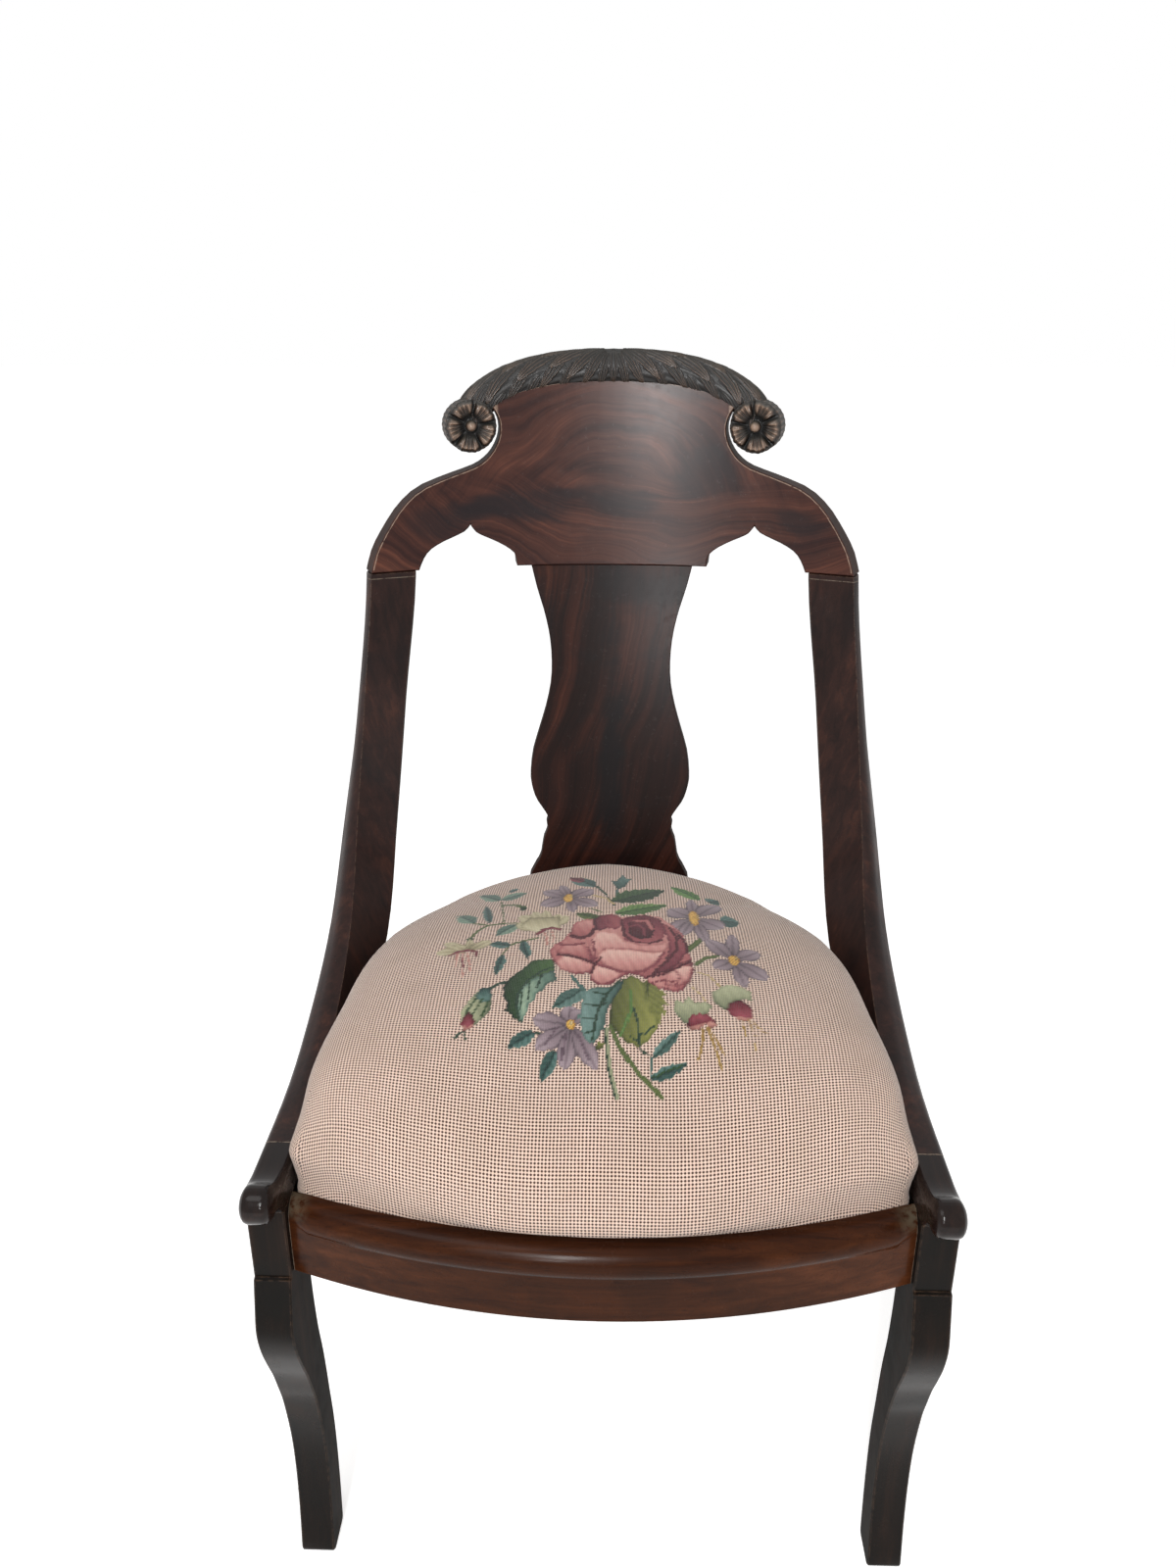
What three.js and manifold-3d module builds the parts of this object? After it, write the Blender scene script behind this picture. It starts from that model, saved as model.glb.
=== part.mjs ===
// Lyre back chair: a mahogany side chair with a barrel shaped back, a vase shaped splat,
// a carved scroll on its crest, sawn cabriole front legs and a lift-out sprung seat.
// Millimetres, +Z up, the front of the chair faces -Y, origin on the floor under its middle.

import * as THREE from 'three';
import { mergeVertices } from 'three/addons/utils/BufferGeometryUtils.js';
import Module from 'manifold-3d';

const wasm = await Module();
wasm.setup();

// Fits shared by every joint
const glueLine = 0.3;          // gap between two pieces that touch
const fit = 0.3;               // play of a tenon or dowel in its hole
const cutOver = 4;             // how far a cut runs past the face that it opens
const weld = 1e-4;             // vertices nearer than this are one
const arris = 1;               // small round on a worked edge

// Seat frame heights and lines; Y = 0 is the front of the leg blocks
const railBottom = 300;
const railHeight = 55;
const railTop = railBottom + railHeight;
const rebateDepth = 17;        // the drop-in seat sits this far below the rail tops
const rebateTop = railTop - rebateDepth;
const seatTaper = 42;          // what each side of it has come in by at the rear legs
const taperStart = 40;         // front of the side rails, back of the leg blocks
const taperRun = 310;          // length of the side rails
const taperPower = 1.25;       // the seat's sides are gently curved in plan
const rearLegFront = taperStart + taperRun;
const seatGap = 0.6;           // play round the drop-in seat
const sideRailFrontWidth = 26.2;
const sideRailRearWidth = 13;
const sideRailLedge = 6.5;

// Front legs
const legOuter = 232;
const legThick = 25.5;
const legInner = legOuter - legThick;
const blockDepth = taperStart;
const kneeTop = railBottom;

// The drop-in seat's front corners and the side rails follow the front legs
const seatInset = 1.8;
const seatFrontHalf = legInner - seatInset;

// Arm ends and stiles
const seamY = blockDepth;      // where the arm end is glued to the stile
const armTop = 379;
const stileThick = 26;
const stileWide = 48;
const rollRadius = 12.5;
const rollBack = 14;           // how far the roll's centre stands before the leg block
const rollHeight = 374;

// The back
const backBase = 388;          // Y of the back's face on the middle line, at backBaseHeight
const backBaseHeight = 400;
const backLean = Math.tan(THREE.MathUtils.degToRad(12));
const backRadius = 531;        // plan radius of the hollow back
const jointHeight = 688;       // crest rail sits on the stiles here
const crestThick = 24;
const crestHalf = 207.4;       // half width of the crest rail where the stiles meet it
const rearSweep = 160;         // the rear feet reach this far behind the rear legs' blocks
const rearHeel = rearLegFront + rearSweep;

const frontRailBow = 38;
const frontRailReach = 32;     // the rail's face stands this far before the leg blocks
const torusProud = 2.5;        // the rail's round top edge stands this far before its face

// The object's middle, front to back
const middleY = (rearHeel - frontRailReach - torusProud) / 2;

const darkWood = { color: 0x2b1712, roughness: 0.3, metalness: 0 };
const veneer = { color: 0x4a2118, roughness: 0.25, metalness: 0 };
const carvedWood = { color: 0x2a1a14, roughness: 0.4, metalness: 0 };
const innerWood = { color: 0x9a7a52, roughness: 0.75, metalness: 0 };
const jute = { color: 0xa58a5c, roughness: 0.9, metalness: 0 };
const stuffing = { color: 0xcfc2a4, roughness: 0.95, metalness: 0 };
const needlepoint = { color: 0xd9b8a4, roughness: 0.9, metalness: 0 };

const chair = new THREE.Group();
const pieces = new THREE.Group();
pieces.position.y = -middleY;
chair.add(pieces);

function place(name, geometry, finish) {
  geometry.computeVertexNormals();
  const piece = new THREE.Mesh(geometry, new THREE.MeshStandardMaterial(finish));
  piece.name = name;
  pieces.add(piece);
}

function placePair(name, geometry, finish) {
  place(`${name}_right`, geometry, finish);
  place(`${name}_left`, mirrored(geometry), finish);
}

// Geometry from a list of points and a list of triangles, faces pointing out
function closedMesh(points, faces) {
  let volume = 0;
  for (const [a, b, c] of faces) {
    volume += points[a].dot(points[b].clone().cross(points[c]));
  }
  const order = volume < 0 ? ([a, b, c]) => [a, c, b] : (face) => face;
  const geometry = new THREE.BufferGeometry();
  geometry.setFromPoints(points);
  geometry.setIndex(faces.flatMap(order));
  return geometry;
}

function bare(geometry) {
  const copy = new THREE.BufferGeometry();
  copy.setAttribute('position', geometry.getAttribute('position').clone());
  if (geometry.index) copy.setIndex(geometry.index.clone());
  return mergeVertices(copy, weld);
}

function mirrored(geometry) {
  const copy = bare(geometry);
  copy.scale(-1, 1, 1);
  const index = copy.index.array;
  for (let i = 0; i < index.length; i += 3) {
    [index[i + 1], index[i + 2]] = [index[i + 2], index[i + 1]];
  }
  return copy;
}

function toSolid(geometry) {
  const merged = bare(geometry);
  return new wasm.Manifold(new wasm.Mesh({
    numProp: 3,
    vertProperties: new Float32Array(merged.getAttribute('position').array),
    triVerts: new Uint32Array(merged.index.array),
  }));
}

function toGeometry(solid) {
  const mesh = solid.getMesh();
  const geometry = new THREE.BufferGeometry();
  geometry.setAttribute('position', new THREE.BufferAttribute(new Float32Array(mesh.vertProperties), 3));
  geometry.setIndex(Array.from(mesh.triVerts));
  return geometry;
}

function cut(geometry, ...tools) {
  let solid = toSolid(geometry);
  for (const tool of tools) solid = solid.subtract(toSolid(tool));
  return toGeometry(solid);
}

function join(geometry, ...others) {
  let solid = toSolid(geometry);
  for (const other of others) solid = solid.add(toSolid(other));
  return toGeometry(solid);
}

function boxBetween(low, high) {
  const box = new THREE.BoxGeometry(high[0] - low[0], high[1] - low[1], high[2] - low[2]);
  return box.translate((low[0] + high[0]) / 2, (low[1] + high[1]) / 2, (low[2] + high[2]) / 2);
}

// Round bar between two points
function bar(from, to, radius, sides = 20) {
  const axis = new THREE.Vector3().subVectors(to, from);
  const geometry = new THREE.CylinderGeometry(radius, radius, axis.length(), sides);
  const upright = new THREE.Vector3(0, 1, 0);
  geometry.applyQuaternion(new THREE.Quaternion().setFromUnitVectors(upright, axis.clone().normalize()));
  const centre = from.clone().add(to).multiplyScalar(0.5);
  return geometry.translate(centre.x, centre.y, centre.z);
}

// Triangles over a loop of an outline's points, all turning the way that the loop does
function fill(points, loop) {
  const contour = loop.map((i) => points[i]);
  const turn = Math.sign(THREE.ShapeUtils.area(contour));
  return THREE.ShapeUtils.triangulateShape(contour, []).map((face) => {
    const [a, b, c] = face.map((k) => loop[k]);
    const same = Math.sign(THREE.ShapeUtils.area([points[a], points[b], points[c]])) === turn;
    return same ? [a, b, c] : [a, c, b];
  });
}

// Skin through rings of points, closed by one triangulated cap at each end
function skin(rings, cap) {
  const count = rings[0].length;
  const faces = [];
  for (let i = 0; i < rings.length - 1; i++) {
    for (let j = 0; j < count; j++) {
      const a = i * count + j;
      const b = i * count + (j + 1) % count;
      faces.push([a, b, b + count], [a, b + count, a + count]);
    }
  }
  const last = (rings.length - 1) * count;
  for (const [a, b, c] of cap) faces.push([a, c, b], [a + last, b + last, c + last]);
  return closedMesh(rings.flat(), faces);
}

function loft(rings, section) {
  return skin(rings, fill(section, section.map((_, i) => i)));
}

// An outline moved outwards by a distance, or inwards by a negative one; it turns anticlockwise
const mitreLimit = 0.4;

function offset(outline, distance) {
  const count = outline.length;
  const outwards = (from, to) => new THREE.Vector2(to.y - from.y, from.x - to.x).normalize();
  return outline.map((point, i) => {
    const before = outwards(outline[(i + count - 1) % count], point);
    const after = outwards(point, outline[(i + 1) % count]);
    const mitre = 1 + before.dot(after);
    return point.clone().addScaledVector(before.add(after), distance / Math.max(mitre, mitreLimit));
  });
}

// Smooth run through values that stand at equal steps of 0 to 1
function smooth(values) {
  const curve = new THREE.SplineCurve(values.map((value, i) => new THREE.Vector2(i, value)));
  return (t) => curve.getPoint(THREE.MathUtils.clamp(t, 0, 1)).y;
}

// The hollow back: x across, depth behind the face, z up, bent to the back's radius and lean
const leanAt = (z) => backBase + (z - backBaseHeight) * backLean;
const hollowAt = (x) => backRadius - Math.sqrt(backRadius ** 2 - x ** 2);

function onBackPoint(x, depth, z) {
  const turn = Math.asin(x / backRadius);
  return new THREE.Vector3(
    x + depth * Math.sin(turn),
    leanAt(z) - hollowAt(x) + depth * Math.cos(turn),
    z,
  );
}

const bendStep = 22;           // width of one facet across the bent back

// The outline with a point more wherever it crosses from one facet of the back to the next
function crossed(outline) {
  return outline.flatMap((here, i) => {
    const there = outline[(i + 1) % outline.length];
    const planes = [];
    const low = Math.min(here.x, there.x);
    const high = Math.max(here.x, there.x);
    for (let k = Math.floor(low / bendStep); k <= high / bendStep; k++) {
      const plane = (k + 0.5) * bendStep;
      if (plane > low && plane < high) planes.push(plane);
    }
    if (there.x < here.x) planes.reverse();
    const shareAt = (plane) => (plane - here.x) / (there.x - here.x);
    return [here, ...planes.map((plane) => here.clone().lerp(there, shareAt(plane)))];
  });
}

// Triangles that fill a crossed outline facet by facet
function facetFaces(points) {
  const count = points.length;
  const facetAt = (i) => Math.round((points[i].x + points[(i + 1) % count].x) / 2 / bendStep);
  const first = points.findIndex((_, i) => facetAt(i) !== facetAt((i + count - 1) % count));
  const runs = [];
  for (let k = 0; k < count; k++) {
    const i = (first + k) % count;
    const run = runs[runs.length - 1];
    if (run && run.facet === facetAt(i)) run.line.push((i + 1) % count);
    else runs.push({ facet: facetAt(i), line: [i, (i + 1) % count] });
  }
  const runAfter = ({ facet, line }) => {
    const end = line[line.length - 1];
    const ends = runs.filter((run) => run.facet === facet)
      .flatMap((run) => [{ run, at: run.line[0] }, { run, at: run.line[run.line.length - 1] }])
      .filter(({ at }) => Math.abs(points[at].x - points[end].x) < bendStep / 2)
      .sort((a, b) => points[a.at].y - points[b.at].y);
    const place = ends.findIndex(({ at }) => at === end);
    return ends[place % 2 ? place - 1 : place + 1].run;
  };
  const faces = [];
  const open = new Set(runs);
  for (const start of open) {
    const loop = [];
    let run = start;
    do {
      open.delete(run);
      loop.push(...run.line);
      run = runAfter(run);
    } while (run !== start);
    faces.push(...fill(points, loop));
  }
  return faces;
}

// A plate on the hollow back: an outline in X and Z, solid from depth front to depth back
function bentPlate(outline, front, back, ease = arris) {
  const points = crossed(outline);
  const eased = offset(points, -ease);
  const layers = [[eased, front], [points, front + ease], [points, back - ease], [eased, back]];
  const square = [[points, front], [points, back]];
  const rings = (ease > 0 ? layers : square).map(
    ([line, depth]) => line.map(({ x, y: z }) => onBackPoint(x, depth, z)));
  return skin(rings, facetFaces(points));
}

// A shape of x across, depth behind the face and z up, bent point by point
function bendToBack(geometry) {
  const bent = bare(geometry);
  const position = bent.getAttribute('position');
  for (let i = 0; i < position.count; i++) {
    const point = onBackPoint(position.getX(i), position.getY(i), position.getZ(i));
    position.setXYZ(i, point.x, point.y, point.z);
  }
  return bent;
}

// A side outline in Y and Z, made solid from one X to another
function sideBoard(shape, fromX, toX, ease = arris, segments = 1, curveSegments = 10) {
  const geometry = new THREE.ExtrudeGeometry(shape, {
    depth: toX - fromX - 2 * ease,
    bevelEnabled: ease > 0,
    bevelThickness: ease,
    bevelSize: ease,
    bevelOffset: -ease,
    bevelSegments: segments,
    curveSegments,
  });
  geometry.rotateX(Math.PI / 2);
  geometry.rotateZ(Math.PI / 2);
  return geometry.translate(fromX + ease, 0, 0);
}

// Plan lines of the seat
const taperAt = (y) => seatTaper * Math.max(0, (y - taperStart) / taperRun) ** taperPower;
const seatSideAt = (y) => seatFrontHalf - taperAt(y);
const railWidthAt = (y) => THREE.MathUtils.lerp(
  sideRailFrontWidth, sideRailRearWidth, (y - taperStart) / taperRun);
const railOuterAt = (y) => seatSideAt(y) + seatGap + railWidthAt(y);
const railInnerAt = (y) => seatSideAt(y) - sideRailLedge;
const frontFaceAt = (x) => -frontRailReach + frontRailBow * (x / legInner) ** 2;

// Tenons of the rails
const tenonThick = 9;
const tenonFoot = 9;           // its lower shoulder
const tenonHead = 6;           // its upper shoulder, under the rebate
const tenonLow = railBottom + tenonFoot;
const tenonHigh = rebateTop - tenonHead;
const tenonLong = 11;

function tenon(low, high) {
  return boxBetween([low[0], low[1], tenonLow], [high[0], high[1], tenonHigh]);
}

function mortise(low, high) {
  return boxBetween(
    [low[0] - fit, low[1] - fit, tenonLow - fit],
    [high[0] + fit, high[1] + fit, tenonHigh + fit],
  );
}

// Front rail tenon in the leg block, side rail tenon behind it
const frontTenonY = 14;
const frontTenonLow = [legInner - cutOver, frontTenonY];
const frontTenonHigh = [legInner + tenonLong, frontTenonY + tenonThick];
const sideTenonIn = 7;          // from the leg block's inner face
const sideTenonX = legInner + sideTenonIn;
const sideTenonLow = [sideTenonX, taperStart - tenonLong];
const sideTenonHigh = [sideTenonX + tenonThick, taperStart + cutOver];

// Dowels
const dowelHalf = 17;
const crestDowelRadius = 4;
const crestDowelDepth = 13;    // its middle behind the crest rail's face
const crestDowelShares = [0.945, 0.868];
const seamDowelRadius = 3.5;
const seamDowelFront = 15;     // how far it reaches into the arm end
const seamDowelZ = 367.5;
const blockDowelRadius = 3;
const blockDowelY = 13;
const blockDowelUp = 6.5;
const blockDowelDown = 22;

// Front legs: a sawn cabriole board with a set-back block, a knee and a straight foot.
// Shares of the leg's reach from the block's face, and of the knee's height.
const legReach = 60;
const soleRound = 5;
const legFrontShares = [
  [-0.04, 0.997], [-0.12, 0.933], [-0.185, 0.867], [-0.125, 0.8], [0, 0.733], [0.14, 0.667],
  [0.25, 0.6], [0.35, 0.533], [0.462, 0.4], [0.485, 0.283], [0.44, 0.15], [0.345, 0.017],
];
const legBackShares = [
  [0.85, 0.017], [0.917, 0.167], [0.94, 0.333], [0.883, 0.467], [0.817, 0.6], [0.717, 0.717],
  [0.667, 0.85], [0.667, 1],
];

function legOutline() {
  const onLeg = ([y, z]) => new THREE.Vector2(y * legReach, z * kneeTop);
  const front = legFrontShares.map(onLeg);
  const back = legBackShares.map(onLeg);
  const toe = front[front.length - 1];
  const heel = back[0];
  const shape = new THREE.Shape();
  shape.moveTo(0, railTop);
  shape.lineTo(0, kneeTop);
  shape.lineTo(front[0].x, front[0].y);
  shape.splineThru(front.slice(1));
  shape.quadraticCurveTo(toe.x, 0, toe.x + soleRound, 0);
  shape.lineTo(heel.x - soleRound, 0);
  shape.quadraticCurveTo(heel.x, 0, heel.x, heel.y);
  shape.splineThru(back.slice(1));
  shape.lineTo(blockDepth, railTop);
  shape.closePath();
  return shape;
}

function frontLeg() {
  return cut(
    sideBoard(legOutline(), legInner, legOuter, arris, 1, 3),
    mortise(frontTenonLow, frontTenonHigh),
    mortise(sideTenonLow, sideTenonHigh),
    blockDowel(fit),
  );
}

// Upright dowel between leg block and arm end
function blockDowel(grow) {
  const x = (legInner + legOuter) / 2;
  const from = new THREE.Vector3(x, blockDowelY, railTop - blockDowelDown - grow);
  const to = new THREE.Vector3(x, blockDowelY, railTop + blockDowelUp + grow);
  return bar(from, to, blockDowelRadius + grow);
}

// Arm end: a short board whose front curls over into a roll
const rollStart = THREE.MathUtils.degToRad(55);
const rollRun = 18;            // where the arm's top starts to rise to the roll
const armEase = 4;
const armFrontIn = 4;          // its outer side stands in from the leg's by this at the roll
const armSeamIn = 3.5;         // and by this at the seam
const armFrontOuter = legOuter - armFrontIn;
const armSeamOuter = legOuter - armSeamIn;
const armSeamInner = legInner - arris;
const seamDowelX = (armSeamInner + armSeamOuter) / 2;
const armFlareFrom = -3;
const armFlareTo = 32;

function armEndOutline() {
  const shape = new THREE.Shape();
  const back = seamY + cutOver + armEase;
  const under = railTop - cutOver - armEase;
  const centre = new THREE.Vector2(-rollBack, rollHeight);
  const start = new THREE.Vector2(
    centre.x + rollRadius * Math.cos(rollStart),
    centre.y + rollRadius * Math.sin(rollStart),
  );
  const handle = rollRadius / 2;
  shape.moveTo(back, armTop);
  shape.lineTo(rollRun, armTop);
  shape.bezierCurveTo(
    rollRun - rollRadius, armTop,
    start.x + handle * Math.sin(rollStart), start.y - handle * Math.cos(rollStart),
    start.x, start.y,
  );
  shape.absarc(centre.x, centre.y, rollRadius, rollStart, 1.5 * Math.PI, false);
  shape.bezierCurveTo(-rollBack / 2, centre.y - rollRadius, 0, centre.y - rollRadius, 0, under);
  shape.lineTo(back, under);
  shape.closePath();
  return shape;
}

function armEnd() {
  const board = sideBoard(armEndOutline(), legInner, legOuter, armEase, 3, 9);
  const position = board.getAttribute('position');
  for (let i = 0; i < position.count; i++) {
    const share = (position.getX(i) - legInner) / legThick;
    const flare = THREE.MathUtils.smoothstep(position.getY(i), armFlareFrom, armFlareTo);
    const inner = THREE.MathUtils.lerp(legInner, armSeamInner, flare);
    const outer = THREE.MathUtils.lerp(armFrontOuter, armSeamOuter, flare);
    position.setX(i, THREE.MathUtils.lerp(inner, outer, share));
  }
  const reach = seatFrontHalf;
  const beyond = legOuter + cutOver;
  const high = armTop + rollRadius + cutOver;
  return cut(
    board,
    boxBetween([0, seamY - glueLine / 2, 0], [beyond, seamY + reach, high]),
    boxBetween([0, -reach, 0], [beyond, seamY + reach, railTop + glueLine]),
    blockDowel(fit),
    seamDowel(fit),
  );
}

function seamDowel(grow) {
  const from = new THREE.Vector3(seamDowelX, seamY - seamDowelFront - grow, seamDowelZ);
  const to = new THREE.Vector3(seamDowelX, seamY + dowelHalf + grow, seamDowelZ);
  return bar(from, to, seamDowelRadius + grow);
}

// Stiles: a board swept from the seam up to the crest rail. Its face turns from
// sideways at the seat to forwards at the top, and its front edge is rounded.
const stileStart = seamY + glueLine / 2;
const stileTopY = 405;
const stileFrontHandle = 182;
const stileTopHandle = new THREE.Vector2(48, 172);
const stileSteps = 26;
const stileRunOut = 16;
const stileCrown = 2.5;        // its top swells by this much away from the seam
const stileRound = 7;
const stileEase = 1.5;
const stileShapedAt = 0.16;    // share of its length by which its section is full
const stileBow = 5.4;          // how far its front arris bows out from a straight run
const stileBowShare = smooth([0, -0.16, 0.14, 1, 0.92, 0]);
const stileTurnShare = smooth([1, 0.91, 0.7, 0.495, 0.305, 0.233]);
const stileThickShare = smooth([0.885, 0.96, 1, 1, 1, 0.96]);
const stileWideShare = smooth([0.51, 0.875, 1, 0.855, 0.78, 0.82]);

function stileSection(t) {
  const wide = stileWide * stileWideShare(t);
  const thick = stileThick * stileThickShare(t);
  const full = THREE.MathUtils.smoothstep(t, 0, stileShapedAt);
  const round = THREE.MathUtils.lerp(armEase, stileRound, full);
  const flat = thick - round;
  const points = [];
  const crownSteps = 5;
  for (let k = 0; k < crownSteps; k++) {
    const share = k / crownSteps;
    points.push(new THREE.Vector2(full * stileCrown * ((2 * share - 1) ** 2 - 1), flat * share));
  }
  const cornerSteps = 3;
  for (let k = 0; k <= cornerSteps; k++) {
    const angle = (Math.PI / 2) * (k / cornerSteps);
    points.push(new THREE.Vector2(
      round * (1 - Math.cos(angle)),
      flat + round * Math.sin(angle),
    ));
  }
  points.push(
    new THREE.Vector2(wide - stileEase, thick),
    new THREE.Vector2(wide, thick - stileEase),
    new THREE.Vector2(wide, stileEase),
    new THREE.Vector2(wide - stileEase, 0),
    new THREE.Vector2(stileEase, 0),
  );
  return points;
}

function stile() {
  const path = new THREE.CubicBezierCurve(
    new THREE.Vector2(stileStart, armTop),
    new THREE.Vector2(stileStart + stileFrontHandle, armTop),
    new THREE.Vector2(stileTopY - stileTopHandle.x, jointHeight - stileTopHandle.y),
    new THREE.Vector2(stileTopY, jointHeight),
  );
  const rings = [];
  const ringAt = (t, beyond) => {
    const along = path.getTangent(t);
    const spot = path.getPoint(t).addScaledVector(along, beyond);
    const turn = (Math.PI / 2) * stileTurnShare(t);
    const front = THREE.MathUtils.lerp(armSeamInner, crestHalf, t) + stileBow * stileBowShare(t);
    return stileSection(t).map(({ x: a, y: b }) => {
      const across = front - a * Math.cos(turn) + b * Math.sin(turn);
      const inward = a * Math.sin(turn) + b * Math.cos(turn);
      return new THREE.Vector3(across, spot.x + inward * along.y, spot.y - inward * along.x);
    });
  };
  for (let k = 0; k <= stileSteps; k++) rings.push(ringAt(k / stileSteps, 0));
  rings.push(ringAt(1, stileRunOut));
  const far = rearHeel + cutOver;
  const wide = legOuter + cutOver;
  return cut(
    loft(rings, stileSection(0)),
    boxBetween([0, 0, 0], [wide, far, railTop + glueLine]),
    boxBetween([0, 0, jointHeight - glueLine / 2], [wide, far, jointHeight + 2 * far]),
    seamDowel(fit),
    ...crestDowelShares.map((share) => crestDowel(share, fit)),
  );
}

function crestDowel(share, grow) {
  const x = share * crestHalf;
  return bar(
    onBackPoint(x, crestDowelDepth, jointHeight - dowelHalf - grow),
    onBackPoint(x, crestDowelDepth, jointHeight + dowelHalf + grow),
    crestDowelRadius + grow,
  );
}

// Crest rail outline, as shares of its half width and of its rise above the joint
const crestRise = 153.3;
const crestFoot = 0.5;         // tablet's lower line above the joint line
const tabletHalfShare = 0.405;
const ogeeInShares = [
  [0.407, 0.035], [0.416, 0.072], [0.448, 0.108], [0.497, 0.144], [0.55, 0.176], [0.579, 0.199],
  [0.6, 0.238],
];
const ogeeOutShares = [
  [0.622, 0.204], [0.665, 0.177], [0.723, 0.1435], [0.767, 0.106], [0.793, 0.059], [0.811, 0],
];
const shoulderShares = [
  [1, 0], [0.978, 0.111], [0.936, 0.222], [0.875, 0.346], [0.796, 0.44], [0.675, 0.5055],
  [0.579, 0.551], [0.53, 0.594], [0.497, 0.649], [0.477, 0.714], [0.474, 0.776], [0.487, 0.832],
  [0.5135, 0.884],
];
const crownRadius = 330;       // arch of the tablet's top under the carved roll
const rollSeat = 4;            // how far the tablet stands up into the roll

function halfOutline(stretches) {
  const points = [];
  for (const { places, steps } of stretches) {
    const curve = new THREE.SplineCurve(places);
    points.push(...curve.getPoints(steps));
  }
  return points.filter((point, i) => i === 0 || point.distanceTo(points[i - 1]) > weld);
}

// Both halves of an outline that starts and ends on the middle line, turning anticlockwise
function bothHalves(half) {
  const offMiddle = half.filter((point) => point.x > weld);
  const other = offMiddle.map((point) => new THREE.Vector2(-point.x, point.y));
  const whole = [...half, ...other.reverse()];
  return THREE.ShapeUtils.area(whole) > 0 ? whole : whole.reverse();
}

function crestOutline() {
  const onCrest = ([x, z]) => new THREE.Vector2(x * crestHalf, jointHeight + glueLine / 2 + z * crestRise);
  const neck = onCrest(shoulderShares[shoulderShares.length - 1]);
  const top = jointHeight + crestRise + rollSeat;
  const reach = Math.asin(neck.x / crownRadius);
  const crown = [];
  const crownSteps = 8;
  for (let k = 1; k <= crownSteps; k++) {
    const angle = reach * (1 - k / crownSteps);
    crown.push(new THREE.Vector2(
      crownRadius * Math.sin(angle),
      top - crownRadius * (1 - Math.cos(angle)),
    ));
  }
  const foot = jointHeight + glueLine / 2 + crestFoot;
  return bothHalves([
    new THREE.Vector2(0, foot),
    new THREE.Vector2(tabletHalfShare * crestHalf, foot),
    ...halfOutline([
      { places: ogeeInShares.map(onCrest), steps: 11 },
      { places: [ogeeInShares[ogeeInShares.length - 1], ...ogeeOutShares].map(onCrest), steps: 11 },
    ]),
    ...halfOutline([{ places: shoulderShares.map(onCrest), steps: 26 }]),
    ...crown,
  ]);
}

// Splat: a vase with a bead and an ovolo under it, as shares of its half width and height
const splatHalf = 72.1;
const splatThick = 9;
const splatSetBack = 3;
const splatTenonThick = 5;
const splatTenonLong = 13;
const splatTenonHalf = 34;
const vaseShares = [
  [0.987, 1], [0.918, 0.939], [0.83, 0.877], [0.766, 0.8145], [0.738, 0.753], [0.746, 0.69],
  [0.804, 0.627], [0.888, 0.565], [0.971, 0.502], [1, 0.438], [0.982, 0.406], [0.928, 0.373],
  [0.824, 0.339], [0.778, 0.32],
];
const beadShares = [[0.778, 0.32], [0.795, 0.3135], [0.801, 0.304], [0.786, 0.2935]];
const ovoloShares = [
  [0.786, 0.2935], [0.802, 0.281], [0.834, 0.264], [0.852, 0.241], [0.876, 0.213], [0.93, 0.193],
];
const plinthShares = [[0.93, 0.193], [1, 0.165], [1.03, 0.12], [1.035, 0.06], [1.035, 0]];

function splatOutline() {
  const low = railTop + glueLine;
  const tall = jointHeight + glueLine / 2 + crestFoot - glueLine - low;
  const onSplat = ([x, z]) => new THREE.Vector2(x * splatHalf, low + z * tall);
  const half = halfOutline([
    { places: vaseShares.map(onSplat), steps: 28 },
    { places: beadShares.map(onSplat), steps: 5 },
    { places: ovoloShares.map(onSplat), steps: 8 },
    { places: plinthShares.map(onSplat), steps: 4 },
  ]);
  const middle = (z) => new THREE.Vector2(0, z);
  return bothHalves([middle(half[0].y), ...half, middle(low)]);
}

// Bent tongue inside the splat's thickness that runs into the crest rail or the rear rail
function splatTenon(lowZ, highZ, grow) {
  const front = splatSetBack + (splatThick - splatTenonThick) / 2;
  const half = splatTenonHalf + grow;
  const low = lowZ - grow;
  const high = highZ + grow;
  const outline = [[-half, low], [half, low], [half, high], [-half, high]];
  return bentPlate(
    outline.map(([x, z]) => new THREE.Vector2(x, z)),
    front - grow, front + splatTenonThick + grow, 0,
  );
}

const splatTenonTop = (grow) => splatTenon(jointHeight - cutOver, jointHeight + splatTenonLong, grow);
const splatTenonFoot = (grow) => splatTenon(railTop - splatTenonLong, railTop + cutOver, grow);

function splat() {
  const plate = bentPlate(splatOutline(), splatSetBack, splatSetBack + splatThick, arris / 2);
  return join(plate, splatTenonTop(0), splatTenonFoot(0));
}

function crestRail() {
  const dowels = crestDowelShares.flatMap((share) => [
    crestDowel(share, fit), mirrored(crestDowel(share, fit)),
  ]);
  return cut(bentPlate(crestOutline(), 0, crestThick), splatTenonTop(fit), ...dowels);
}

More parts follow.
